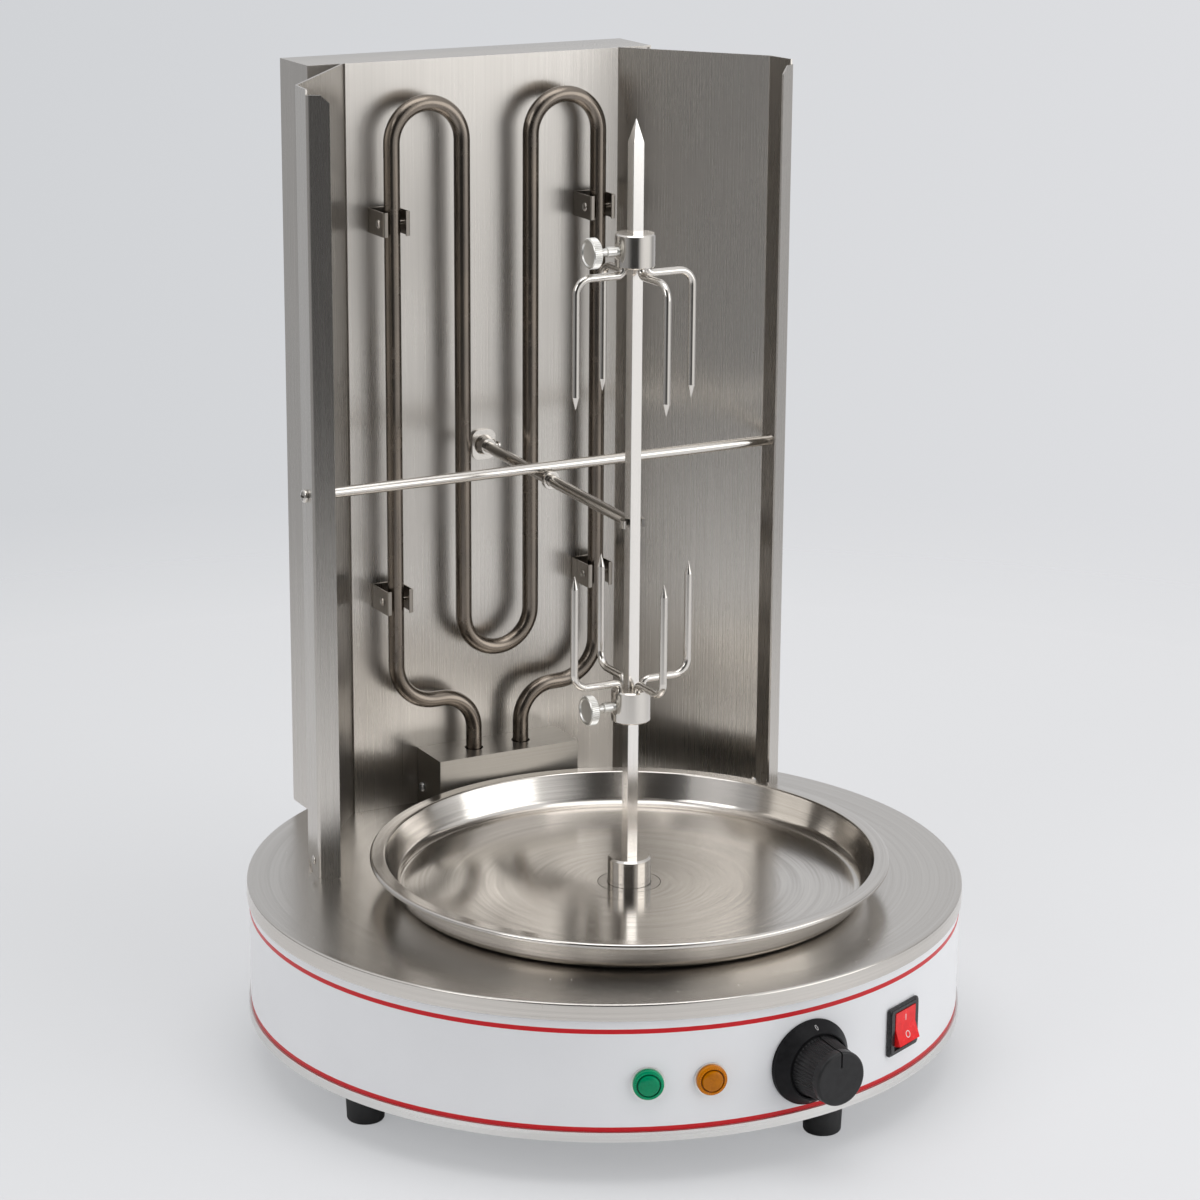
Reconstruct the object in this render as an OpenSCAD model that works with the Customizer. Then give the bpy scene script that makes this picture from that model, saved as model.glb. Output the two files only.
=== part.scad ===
// Electric vertical rotisserie grill with a round base, a standing heating element
// in front of a sheet steel reflector, and a motor driven square spit in a drip pan.
// The model stands on z = 0, its front is at -Y, and all sizes are in millimetres.

/* [Base] */
// Outer radius of the painted base band
base_r = 215; // [190:1:240]
// Height of the top plate above the floor
deck_h = 109; // [102:1:130]
// Height of the base housing, without the feet
housing_h = 82.1; // [78:0.1:95]
// Thickness of the sheet steel
sheet = 1.2; // [0.8:0.1:1.6]
// Depth of the skirt that the top plate turns down over the band
skirt_h = 9.9; // [7:0.1:16]
// Rounding of the top plate's edge
edge_r = 3; // [2.8:0.1:6]
// Height of the bottom plate's turned up rim
rim_h = 4.6; // [3:0.1:8]
// Width of the band's inward flanges
flange_w = 20; // [15:1:30]

/* [Feet] */
// Diameter of a foot
foot_d = 24; // [18:1:32]
// Distance of a foot's middle from the base's rim
foot_inset = 28; // [17:1:60]
// Direction of the first foot, from the front towards the right
foot_angle = 14; // [8:1:30]

/* [Spindle and spit] */
// Distance of the spit in front of the base's centre
spit_forward = 31; // [20:1:40]
// Width of the square spit
spit_w = 7; // [6:0.5:9]
// Height of the spit's shoulder above the plate
spit_shoulder = 445.6; // [428:0.1:463]
// Height of the spit's four sided point
spit_point = 14.3; // [10:0.1:20]
// Diameter of the turned socket
socket_d = 26; // [22:1:32]
// Height of the socket's top above the plate
socket_top = 18; // [16:0.5:21]
// Depth of the socket's square hole
socket_depth = 17.5; // [12:0.5:18]
// Diameter of the socket's neck in the bearing
neck_d = 16; // [14:0.5:18]
// Diameter of the gearmotor's shaft
shaft_d = 9; // [8:0.5:10]

/* [Drip pan] */
// Gap between the pan's rim and the terminal box
pan_gap = 2.5; // [1:0.1:10]
// Width of the pan's flat rim
pan_rim_w = 9; // [6:0.5:14]
// Distance by which the pan's wall leans inwards
pan_wall_in = 6.5; // [3:0.1:14]
// Height of the pan's rim above the plate
pan_h = 21.5; // [15:0.5:26]
// Depth of the pan's turned down edge
pan_edge_h = 2.5; // [1.5:0.1:4]
// Radius of the bend between the pan's wall and its floor
pan_bend_r = 16; // [6:1:18]
// Thickness of the pan's sheet
pan_sheet = 1; // [0.8:0.1:1.5]

/* [Reflector and back box] */
// Height of the reflector above the plate
tower_h = 473; // [443:1:503]
// Distance of the reflector's front face from the rear of the base's rim
panel_inset = 55; // [51:1:60]
// Width of the flat reflector panel
panel_w = 186; // [170:1:200]
// Width of the back box
box_w = 234; // [222:1:250]
// Depth of the reflector and back box together
tower_d = 42; // [32:1:50]
// Length of a wing from the panel to its first fold
wing_len = 100; // [90:1:105]
// Direction of a wing, from straight ahead towards the outside
wing_angle = 39.7; // [35:0.1:45]
// Width of the strip along a wing's front
strip_w = 21.2; // [18:0.1:24]
// Direction of the strip, from straight ahead towards the outside
strip_angle = 7.6; // [2:0.1:12]
// Width of the inward lip at a wing's front edge
lip_w = 12.5; // [9:0.1:15]
// Direction of the lip, from straight ahead towards the inside
lip_angle = 58.7; // [45:0.1:75]
// Distance of the lip's top below the wing's top
lip_drop = 3; // [1:0.5:6]
// Size of the lip's cut off upper corner
lip_chamfer = 5; // [3:0.5:7]

/* [Heating element] */
// Diameter of the heating tube
element_d = 10; // [8:0.1:12]
// Distance of the tube's centre in front of the reflector
element_off = 16; // [14:0.5:18]
// Distance between neighbouring upright legs
leg_pitch = 47; // [42:0.5:50]
// Height of the tube's centre at the upper bends
element_top = 449; // [423:1:458]
// Height of the tube's centre at the lower bend
element_low = 102; // [99:1:118]
// Height of the tube's centre along the short level runs
run_z = 73; // [69:1:77]
// Bend radius where the legs turn inwards
outer_bend_r = 26; // [20:0.5:28]
// Bend radius where the tube turns down again
inner_bend_r = 22.5; // [18:0.5:24]
// Distance between the tube's two ends in the terminal box
entry_pitch = 33.3; // [28:0.1:38]

/* [Terminal box] */
// Width of the terminal box
terminal_w = 98; // [88:1:110]
// Depth of the terminal box
terminal_d = 33.5; // [30:0.5:34]
// Height of the terminal box
terminal_h = 37; // [33:0.5:41]

/* [Element clips] */
// Height of the lower pair of clips
clip_low_z = 141.5; // [128:0.5:173]
// Height of the upper pair of clips
clip_high_z = 378; // [333:0.5:403]
// Height of one clip
clip_h = 15; // [10:0.5:20]
// Width of one clip
clip_w = 18; // [16:0.5:20]
// Distance that a clip stands out from the reflector
clip_reach = 23; // [22:0.5:26]
// Width of a clip's turned in edges
clip_lip = 3; // [2:0.1:3.5]

/* [Cross rod and guide arm] */
// Diameter of the cross rod between the wings
cross_d = 6.5; // [5:0.1:8]
// Distance of the cross rod from the wings' front fold
cross_inset = 9.4; // [6:0.1:12]
// Height of the cross rod's centre
cross_z = 234; // [231:0.5:237]
// Diameter of the guide arm
arm_d = 7; // [6:0.1:8]
// Slope of the guide arm, down towards the spit
arm_slope = 2.2; // [1:0.1:3]
// Sideways offset of the guide arm at the reflector, towards the left
arm_offset = 2; // [0:0.1:4]
// Inner radius of the open ring that guides the spit
guide_r = 5.6; // [5.5:0.1:6.6]

/* [Forks] */
// Diameter of a fork's collar
collar_d = 23.5; // [20:0.5:28]
// Height of a fork's collar
collar_h = 19.4; // [16:0.1:24]
// Height of the upper fork's collar, at its lower face
upper_fork_z = 374.5; // [363:0.5:393]
// Height of the lower fork's collar, at its lower face
lower_fork_z = 103.2; // [99:0.1:107]
// Diameter of a tine
tine_d = 4.5; // [4:0.1:5]
// Distance of the tines from the spit
tine_r = 38; // [32:0.5:42]
// Length of the upper fork's tines below their level part
upper_tine = 76; // [60:1:78]
// Length of the lower fork's tines above their level part
lower_tine = 69; // [55:1:70]
// Length of a tine's point
tine_point = 8; // [5:0.5:12]
// Diameter of a thumb screw's head
thumb_d = 17.8; // [14:0.1:20]
// Thickness of a thumb screw's head
thumb_t = 5.6; // [4:0.1:8]
// Distance of a thumb screw's head from the spit
thumb_out = 25; // [20:0.5:28]
// Diameter of a thumb screw's thread
thumb_thread = 5; // [4:0.5:6]

/* [Controls] */
// Depth of the controls' centres below the plate
control_z = 47.5; // [43:0.5:51]
// Direction of the green lamp
green_angle = -22; // [-26:0.5:-20]
// Direction of the amber lamp
amber_angle = -12.5; // [-14:0.5:-11]
// Direction of the thermostat
dial_angle = 4; // [2:0.5:6]
// Direction of the rocker switch
switch_angle = 24.2; // [22:0.1:30]
// Diameter of a lamp's lens
lens_d = 17.6; // [14:0.1:20]
// Diameter of a lamp's barrel
barrel_d = 14; // [11:0.5:15]
// Diameter of the thermostat's dial
dial_d = 50.5; // [46:0.5:54]
// Height of the thermostat's dial above the band
dial_h = 9; // [7:0.5:12]
// Diameter of the knob where it meets the dial
knob_d = 38; // [34:0.5:40]
// Diameter of the knob's front face
knob_face_d = 32; // [28:0.5:34]
// Height of the knob's front face above the band
knob_h = 30; // [24:0.5:32]
// Number of flutes around the knob
knob_flutes = 48; // [32:2:52]
// Width of the switch's frame
switch_w = 30.4; // [27:0.1:34]
// Height of the switch's frame
switch_h = 29.4; // [27:0.1:32]
// Width of the rocker
rocker_w = 20.6; // [17:0.1:22]
// Height of the rocker
rocker_h = 19.8; // [18:0.1:20]
// Angle that the rocker tips through
rocker_swing = 20; // [16:1:22]

/* [Cord inlet] */
// Depth of the cord inlet below the plate
gland_z = 52; // [48:0.5:56]
// Diameter of the gland's thread
gland_thread = 16; // [14:0.5:20]
// Diameter of the gland's open bore
gland_bore = 9; // [7:0.5:10]
// Distance that the gland stands out from the band
gland_out = 18; // [14:0.5:24]

/* [Hidden] */
$fn = 96;

// Gap between two pieces that lie against each other on one body
touch_gap = 0.1;
// Gap under a loose piece that stands on its seat
seat_gap = 0.3;
// Gap on each side of a piece that slides
slide_gap = 0.15;
// Radial gap of a turning shaft in its bore
turn_gap = 0.05;
// Radial gap of a screw in its hole
screw_gap = 0.2;
// Amount that a cutting shape reaches past the piece it cuts
over = 1;

// Plan of the base
spit_y = -spit_forward;
panel_front = base_r - panel_inset;
pan_r = panel_front - terminal_d + spit_forward - pan_gap;
skirt_r = base_r + touch_gap + sheet;
housing_floor = -housing_h + sheet;
foot_h = deck_h - housing_h;
knob_front = (base_r + knob_h) * cos(dial_angle) + knob_face_d / 2 * sin(dial_angle);
gland_rear = base_r + gland_out;
base_y = (knob_front - gland_rear) / 2;

// Screw sizes, each as thread diameter, head diameter and head height
small_screw = [3, 6, 2];
medium_screw = [4, 8, 2.6];
large_screw = [5, 10, 3.2];
// Width and height of a nut for the medium screws
nut_flats = 7;
nut_h = 3.2;

// Colours
steel = [0.72, 0.70, 0.67];
bright_steel = [0.86, 0.85, 0.83];
zinc = [0.66, 0.67, 0.69];
bronze = [0.48, 0.42, 0.36];
white_paint = [0.88, 0.89, 0.91];
black_plastic = [0.10, 0.10, 0.11];
rubber = [0.08, 0.08, 0.09];
ceramic = [0.92, 0.90, 0.86];
signal_red = [0.85, 0.08, 0.08];
signal_green = [0.10, 0.60, 0.25];
signal_amber = [0.95, 0.55, 0.10];
grey_plastic = [0.80, 0.80, 0.80];
brass = [0.75, 0.60, 0.30];

// Frame whose origin is the centre of the top plate's upper face
module deck() {
    translate([0, base_y, deck_h]) children();
}

// Frame on the spit's axis, at the height of the top plate
module on_spindle() {
    deck() translate([0, spit_y, 0]) children();
}

// Frame on the band's surface: x runs along the band, y points up, z points outwards
module on_band(angle, z) {
    deck() rotate([0, 0, angle]) translate([0, -base_r, z]) rotate([90, 0, 0]) children();
}

// Flat sheet and rod helpers
function unit(v) = v / norm(v);
function left_side(a, b) = [a[1] - b[1], b[0] - a[0]] / norm(b - a);
function reversed(v) = [for (i = [len(v) - 1 : -1 : 0]) v[i]];

// Points of the round bend that replaces corner b of the path a, b, c
bend_steps = 5;
function bend_points(a, b, c, r) =
    let (
        u = unit(a - b),
        w = unit(c - b),
        half = acos(u * w) / 2,
        turn = 180 - 2 * half,
        centre = b + unit(u + w) * r / sin(half),
        from = b + u * r / tan(half) - centre,
        to = b + w * r / tan(half) - centre
    )
    [for (i = [0 : bend_steps]) let (s = i / bend_steps)
        centre + (from * sin(turn * (1 - s)) + to * sin(turn * s)) / sin(turn)];

// Path with its inner corners bent, by one radius or by a list of them
function rounded_path(path, r) = [
    path[0],
    for (i = [1 : len(path) - 2])
        each bend_points(path[i - 1], path[i], path[i + 1], is_list(r) ? r[i - 1] : r),
    path[len(path) - 1]
];

function side_path(p, t) = [
    for (i = [0 : len(p) - 1])
        let (
            before = left_side(p[max(i - 1, 0)], p[max(i, 1)]),
            after = left_side(p[min(i, len(p) - 2)], p[min(i + 1, len(p) - 1)])
        )
        p[i] + t * (before + after) / (1 + before * after)
];

// Outline of bent sheet: its one face follows the path, its thickness lies to the left
function sheet_outline(path, r, t) =
    let (face = rounded_path(path, r)) concat(face, reversed(side_path(face, t)));

// Round rod between two points
module rod(p, q, d) {
    run = q - p;
    translate(p) rotate([0, acos(run[2] / norm(run)), atan2(run[1], run[0])]) cylinder(d = d, h = norm(run));
}

// Bent length of round tube in a plane parallel to XZ, angles from +X towards +Z
module bent_rod(centre, r, from, to, d) {
    translate(centre) rotate([90, 0, 0]) rotate([0, 0, from])
        rotate_extrude(angle = to - from) translate([r, 0]) circle(d = d, $fn = 32);
}

// Pan head screw with its head above z = 0 and its thread below
module screw(size, length) {
    rotate_extrude() {
        translate([0, -length]) square([size[0] / 2, length + size[2] / 2]);
        square([size[1] / 2, size[2] * 0.6]);
        intersection() {
            square([size[1] / 2, size[2]]);
            translate([0, -size[1] * 0.6]) circle(r = size[1] * 0.6 + size[2]);
        }
    }
}

module screw_hole(size, depth) {
    translate([0, 0, -depth]) cylinder(d = size[0] + 2 * screw_gap, h = 2 * depth, $fn = 32);
}

module hex_nut(thread, flats, height) {
    difference() {
        cylinder(d = flats / cos(30), h = height, $fn = 6);
        translate([0, 0, -over]) cylinder(d = thread + 2 * touch_gap, h = height + 2 * over, $fn = 32);
    }
}

module rounded_rect(w, h, r) {
    for (x = [-1, 1], y = [-1, 1]) translate([x * (w / 2 - r), y * (h / 2 - r)]) circle(r = r, $fn = 32);
    square([w - 2 * r, h], center = true);
    square([w, h - 2 * r], center = true);
}

// Base housing
base_screw_count = 6;
base_screw_r = base_r - flange_w / 2 - sheet;
base_screw_angle = 30;
vent_count = 7;
vent_pitch = 11;
vent_len = 46;
vent_w = 4;
vent_x = 85;

// Half section of the plate's upper edge, with its rounded corner of radius r
module edge_section(outer_r, corner_r, depth) {
    translate([0, -depth]) square([outer_r, depth - corner_r]);
    translate([0, -corner_r]) square([outer_r - corner_r, corner_r]);
    translate([outer_r - corner_r, -corner_r]) intersection() {
        circle(r = corner_r);
        square(corner_r);
    }
}

module at_base_screws() {
    for (i = [0 : base_screw_count - 1])
        rotate([0, 0, base_screw_angle + i * 360 / base_screw_count])
            translate([0, -base_screw_r, 0]) children();
}

module base_band() {
    inner_top = sheet + touch_gap;
    corner = edge_r - inner_top;
    band_h = -housing_floor - inner_top - touch_gap;
    color(white_paint) difference() {
        deck() rotate_extrude() difference() {
            translate([0, -inner_top]) edge_section(base_r, corner, band_h);
            translate([0, -inner_top - sheet])
                edge_section(base_r - sheet, corner - sheet, band_h - 2 * sheet);
            translate([0, -housing_h]) square([base_r - flange_w, housing_h]);
        }
        deck() at_base_screws() translate([0, 0, housing_floor]) screw_hole(medium_screw, 3 * sheet);
        for (a = [green_angle, amber_angle]) on_band(a, -control_z) control_hole(barrel_d);
        on_band(dial_angle, -control_z) control_hole(dial_hub_d);
        on_band(switch_angle, -control_z) translate([0, 0, -control_cut]) linear_extrude(2 * control_cut)
            square([switch_body_w + 2 * screw_gap, switch_body_h + 2 * screw_gap], center = true);
        on_band(180, -gland_z) control_hole(gland_thread);
    }
}

control_cut = 8;
module control_hole(d) {
    translate([0, 0, -control_cut]) cylinder(d = d + 2 * screw_gap, h = 2 * control_cut, $fn = 48);
}

// Raised ring of the plate that centres the pan around the socket, level with the pan's floor
pan_ring_in = socket_d / 2 + 3 * slide_gap;
pan_ring_w = 5.2;
pan_ring_h = seat_gap + pan_sheet;
ring_gap = 0.4;

module pan_ring(inset, from, to) {
    on_spindle() rotate_extrude() translate([pan_ring_in + inset, from])
        square([pan_ring_w - 2 * inset, to - from]);
}

module top_plate() {
    color(steel) difference() {
        union() {
            pan_ring(0, -sheet / 2, pan_ring_h);
            deck() rotate_extrude() difference() {
                edge_section(skirt_r, edge_r, skirt_h);
                translate([0, -sheet]) edge_section(skirt_r - sheet, edge_r - sheet, skirt_h);
            }
            both_sides() wing_tab();
        }
        pan_ring(sheet, -sheet - over, pan_ring_h - sheet);
        on_spindle() translate([0, 0, -2 * sheet])
            cylinder(d = neck_d + 2 * screw_gap, h = 3 * sheet, $fn = 48);
        at_bearing_screws() screw_hole(small_screw, 2 * sheet);
        at_tower_screws() screw_hole(medium_screw, 2 * sheet);
        both_sides() at_wing_rivet() translate([0, 0, -4 * sheet]) rivet_hole(6 * sheet);
        at_grommet() translate([0, 0, -2 * sheet]) cylinder(d = grommet_d, h = 3 * sheet, $fn = 48);
    }
}

module bottom_plate() {
    rim = sheet + rim_h;
    color(steel) difference() {
        deck() translate([0, 0, -housing_h]) difference() {
            cylinder(r = skirt_r, h = rim);
            translate([0, 0, sheet]) cylinder(r = skirt_r - sheet, h = rim);
        }
        deck() at_base_screws() translate([0, 0, housing_floor]) screw_hole(medium_screw, 3 * sheet);
        at_feet() translate([0, 0, foot_h]) screw_hole(large_screw, 2 * sheet);
        on_spindle() translate([0, 0, -housing_h - over]) linear_extrude(sheet + 2 * over) vent_slots();
    }
}

// Rows of air slots on both sides of the gearmotor
module vent_slots() {
    for (s = [-1, 1], i = [0 : vent_count - 1])
        translate([s * vent_x, (i - (vent_count - 1) / 2) * vent_pitch])
            rounded_rect(vent_len, vent_w, vent_w / 2 - 0.01);
}

base_screw_len = 9;
module base_screws() {
    color(zinc) deck() at_base_screws() translate([0, 0, -housing_h - touch_gap]) {
        mirror([0, 0, 1]) screw(medium_screw, base_screw_len);
        translate([0, 0, 2 * sheet + 3 * touch_gap]) hex_nut(medium_screw[0], nut_flats, nut_h);
    }
}

// Feet
foot_recess_d = 13;
foot_recess_h = 12;
foot_screw_len = 20;

module at_foot(i) {
    translate([0, base_y, 0]) rotate([0, 0, foot_angle + 90 * i])
        translate([0, foot_inset - base_r, 0]) children();
}

module at_feet() {
    for (i = [0 : 3]) at_foot(i) children();
}

// Rubber foot with a slight taper and rounded lower edge, screwed on through its recess
module foot(i) {
    lower_r = foot_d / 2 - 1;
    round_r = 2;
    color(rubber) at_foot(i) difference() {
        rotate_extrude($fn = 64) {
            polygon([
                [0, round_r], [lower_r, round_r], [foot_d / 2, foot_h - touch_gap], [0, foot_h - touch_gap]
            ]);
            square([lower_r - round_r, foot_h / 2]);
            translate([lower_r - round_r, round_r]) circle(r = round_r, $fn = 32);
        }
        translate([0, 0, -over]) cylinder(d = foot_recess_d, h = foot_recess_h + over, $fn = 48);
        cylinder(d = large_screw[0] + 2 * screw_gap, h = foot_h + over, $fn = 32);
    }
}

module foot_screws() {
    color(zinc) at_feet() {
        translate([0, 0, foot_recess_h - touch_gap]) mirror([0, 0, 1]) screw(large_screw, foot_screw_len);
        translate([0, 0, foot_h + sheet + touch_gap]) hex_nut(large_screw[0], 8, 4);
    }
}

// Drive under the top plate
bearing_flange_d = 50;
bearing_flange_h = 4;
bearing_body_d = 26;
bearing_body_h = 14;
bearing_screw_r = 21.3;
neck_end = -26;
bracket_w = 84;
bracket_d = 50;
bracket_z = -34;
bracket_t = 1.5;
bracket_foot = 16;
gearbox_w = 66;
gearbox_corner = 8;
gearbox_d = 54;
gearbox_h = 20;
motor_screw_x = 26;
motor_screw_y = 20;
motor_can_d = 48;
shaft_top = neck_end + 16;

module at_bearing_screws() {
    on_spindle() for (a = [45 : 90 : 315]) rotate([0, 0, a]) translate([bearing_screw_r, 0, 0]) children();
}

module at_bracket_studs() {
    on_spindle() for (x = [-1, 1], y = [-1, 1])
        translate([x * (bracket_w + bracket_foot) / 2, y * bracket_d / 4, 0]) children();
}

module at_motor_screws() {
    on_spindle() for (x = [-1, 1], y = [-1, 1])
        translate([x * motor_screw_x, y * motor_screw_y, bracket_z]) children();
}

module spindle_bearing() {
    color(brass) difference() {
        on_spindle() translate([0, 0, -sheet - touch_gap]) {
            translate([0, 0, -bearing_flange_h]) cylinder(d = bearing_flange_d, h = bearing_flange_h);
            translate([0, 0, -bearing_body_h]) cylinder(d = bearing_body_d, h = bearing_body_h, $fn = 64);
        }
        on_spindle() translate([0, 0, -bearing_body_h - sheet - over])
            cylinder(d = neck_d + 2 * turn_gap, h = bearing_body_h + 2 * over, $fn = 64);
        at_bearing_screws() screw_hole(small_screw, bearing_flange_h + 2 * sheet);
    }
}

module bearing_screws() {
    length = bearing_flange_h + sheet + 2 * touch_gap;
    color(zinc) at_bearing_screws() translate([0, 0, -length - touch_gap])
        mirror([0, 0, 1]) screw(small_screw, length);
}

// Hat shaped bracket that hangs the gearmotor under the plate
module motor_bracket() {
    half = bracket_w / 2;
    foot_z = -sheet - touch_gap;
    path = [
        [-half - bracket_foot, foot_z], [-half, foot_z], [-half, bracket_z],
        [half, bracket_z], [half, foot_z], [half + bracket_foot, foot_z]
    ];
    color(zinc) difference() {
        on_spindle() translate([0, bracket_d / 2, 0]) rotate([90, 0, 0])
            linear_extrude(bracket_d) polygon(sheet_outline(reversed(path), 2, bracket_t));
        on_spindle() translate([0, 0, bracket_z - 3 * sheet])
            cylinder(d = neck_d + 4, h = 6 * sheet, $fn = 48);
        at_motor_screws() screw_hole(medium_screw, 4 * sheet);
        at_bracket_studs() screw_hole(medium_screw, 4 * sheet);
    }
}

// Weld studs under the plate, with the nuts that hold the bracket
module bracket_nuts() {
    nut_top = -sheet - bracket_t - 2 * touch_gap;
    stud_len = 9;
    color(zinc) at_bracket_studs() {
        translate([0, 0, nut_top - nut_h]) hex_nut(medium_screw[0], nut_flats, nut_h);
        translate([0, 0, -sheet - touch_gap - stud_len])
            cylinder(d = medium_screw[0], h = stud_len, $fn = 32);
    }
}

gearbox_top = bracket_z - bracket_t - touch_gap;
gearbox_boss = 3;
shaft_foot = gearbox_top - 14;

// Flat gearbox with the motor below it and a boss around its shaft
module gearmotor() {
    can_foot = housing_floor + 2;
    can_top = gearbox_top - gearbox_h + over;
    color(zinc) difference() {
        on_spindle() {
            translate([0, 0, gearbox_top - gearbox_h]) linear_extrude(gearbox_h)
                rounded_rect(gearbox_w, gearbox_d, gearbox_corner);
            translate([0, 0, can_foot]) cylinder(d = motor_can_d, h = can_top - can_foot, $fn = 64);
            translate([0, 0, gearbox_top - over])
                cylinder(d = shaft_d + 6, h = over + gearbox_boss, $fn = 48);
        }
        at_motor_screws() screw_hole(medium_screw, 9);
        on_spindle() translate([0, 0, shaft_foot - seat_gap])
            cylinder(d = shaft_d + 2 * turn_gap, h = 3 * gearbox_boss + gearbox_h, $fn = 48);
    }
}

module motor_screws() {
    color(zinc) at_motor_screws() translate([0, 0, touch_gap]) screw(medium_screw, 8);
}

// Output shaft of the gearmotor, pinned to the socket's neck
module drive_shaft() {
    color(bright_steel) on_spindle() difference() {
        translate([0, 0, shaft_foot]) cylinder(d = shaft_d, h = shaft_top - shaft_foot, $fn = 48);
        pin_hole(touch_gap);
    }
}

pin_z = neck_end + 6;
pin_d = 3;
module pin_hole(gap) {
    translate([-neck_d, 0, pin_z]) rotate([0, 90, 0]) cylinder(d = pin_d + 2 * gap, h = 2 * neck_d, $fn = 32);
}

// Turned socket: a chamfered head with a square hole, and a neck that runs in the bearing
module spit_socket() {
    chamfer = 1.2;
    head_r = socket_d / 2;
    color(bright_steel) on_spindle() difference() {
        rotate_extrude() polygon([
            [0, neck_end], [neck_d / 2, neck_end], [neck_d / 2, seat_gap], [head_r, seat_gap],
            [head_r, socket_top - chamfer], [head_r - chamfer, socket_top], [0, socket_top]
        ]);
        translate([0, 0, socket_top - socket_depth]) linear_extrude(socket_depth + over)
            square(spit_w + 2 * slide_gap, center = true);
        translate([0, 0, neck_end - over])
            cylinder(d = shaft_d + 2 * turn_gap, h = shaft_top - neck_end + over + seat_gap, $fn = 48);
        pin_hole(touch_gap);
    }
}

// Cross pin that couples the socket to the motor shaft
module shaft_pin() {
    color(zinc) on_spindle() translate([-neck_d / 2 + 0.5, 0, pin_z]) rotate([0, 90, 0])
        cylinder(d = pin_d, h = neck_d - 1, $fn = 32);
}

// Spit
spit_foot = socket_top - socket_depth + seat_gap;

// Square bar with a four sided point
module spit() {
    half = spit_w / 2;
    outline = [
        [-half, spit_foot], [half, spit_foot], [half, spit_shoulder],
        [0, spit_shoulder + spit_point], [-half, spit_shoulder]
    ];
    color(bright_steel) on_spindle() intersection() {
        rotate([90, 0, 0]) linear_extrude(spit_w, center = true) polygon(outline);
        rotate([90, 0, 90]) linear_extrude(spit_w, center = true) polygon(outline);
    }
}

// Forks
tine_drop = 4.5;
tine_inner_r = 4;
tine_outer_r = 9;
tine_root = 7.5;
thumb_tip = spit_w / 2 + slide_gap;
spot_face_d = 10;
spot_face_in = 0.6;

// One tine in the XZ plane of a fork whose tines point down from z = 0
module tine(length) {
    weld = 3;
    straight = length - tine_outer_r - tine_point;
    translate([tine_root, 0, -tine_drop + tine_inner_r])
        cylinder(d = tine_d, h = tine_drop - tine_inner_r + weld, $fn = 32);
    bent_rod([tine_root + tine_inner_r, 0, -tine_drop + tine_inner_r], tine_inner_r, 180, 270, tine_d);
    translate([tine_root + tine_inner_r, 0, -tine_drop]) rotate([0, 90, 0])
        cylinder(d = tine_d, h = tine_r - tine_outer_r - tine_root - tine_inner_r, $fn = 32);
    bent_rod([tine_r - tine_outer_r, 0, -tine_drop - tine_outer_r], tine_outer_r, 0, 90, tine_d);
    translate([tine_r, 0, -tine_drop - tine_outer_r - straight]) cylinder(d = tine_d, h = straight, $fn = 32);
    translate([tine_r, 0, -tine_drop - length]) cylinder(d1 = 0, d2 = tine_d, h = tine_point, $fn = 32);
}

// Fork with its collar standing on z = 0 and its four tines pointing down
module fork(tine_length) {
    difference() {
        union() {
            rotate_extrude() collar_section();
            for (a = [0 : 90 : 270]) rotate([0, 0, a]) tine(tine_length);
        }
        translate([0, 0, -over]) linear_extrude(collar_h + 2 * over)
            square(spit_w + 2 * slide_gap, center = true);
        translate([0, 0, collar_h / 2]) rotate([0, -90, 0])
            cylinder(d = thumb_thread + 2 * turn_gap, h = collar_d, $fn = 48);
        translate([-collar_d / 2 + spot_face_in, 0, collar_h / 2]) rotate([0, -90, 0])
            cylinder(d = spot_face_d, h = collar_d, $fn = 48);
    }
}

module collar_section() {
    chamfer = 0.8;
    r = collar_d / 2;
    polygon([
        [0, 0], [r - chamfer, 0], [r, chamfer], [r, collar_h - chamfer],
        [r - chamfer, collar_h], [0, collar_h]
    ]);
}

module upper_fork() {
    color(bright_steel) on_spindle() translate([0, 0, upper_fork_z]) fork(upper_tine);
}

module lower_fork() {
    color(bright_steel) on_spindle() translate([0, 0, lower_fork_z]) rotate([180, 0, 0])
        translate([0, 0, -collar_h]) fork(lower_tine);
}

// Knurled thumb screw that points along -X from the spit's axis
module thumb_screw() {
    chamfer = 0.8;
    r = thumb_d / 2;
    rotate([0, -90, 0]) difference() {
        rotate_extrude() polygon([
            [0, thumb_tip], [thumb_thread / 2, thumb_tip], [thumb_thread / 2, thumb_out],
            [r - chamfer, thumb_out], [r, thumb_out + chamfer], [r, thumb_out + thumb_t - chamfer],
            [r - chamfer, thumb_out + thumb_t], [0, thumb_out + thumb_t]
        ]);
        for (i = [0 : 23]) rotate([0, 0, i * 15]) translate([r, 0, thumb_out - over])
            cylinder(d = 1.2, h = thumb_t + 2 * over, $fn = 6);
    }
}

module upper_thumb_screw() {
    color(bright_steel) on_spindle() translate([0, 0, upper_fork_z + collar_h / 2]) thumb_screw();
}

module lower_thumb_screw() {
    color(bright_steel) on_spindle() translate([0, 0, lower_fork_z + collar_h / 2]) thumb_screw();
}

// Drip pan with a sloping wall, a flat rim and a turned down edge
module drip_pan() {
    edge_bend = 1.6;
    wall_top = pan_r - pan_rim_w;
    path = [
        [pan_r, pan_h - pan_edge_h], [pan_r, pan_h], [wall_top, pan_h],
        [wall_top - pan_wall_in, pan_ring_h], [pan_ring_in + pan_ring_w + ring_gap, pan_ring_h]
    ];
    color(steel) on_spindle() rotate_extrude()
        polygon(sheet_outline(path, [edge_bend, edge_bend, pan_bend_r], pan_sheet));
}

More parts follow.
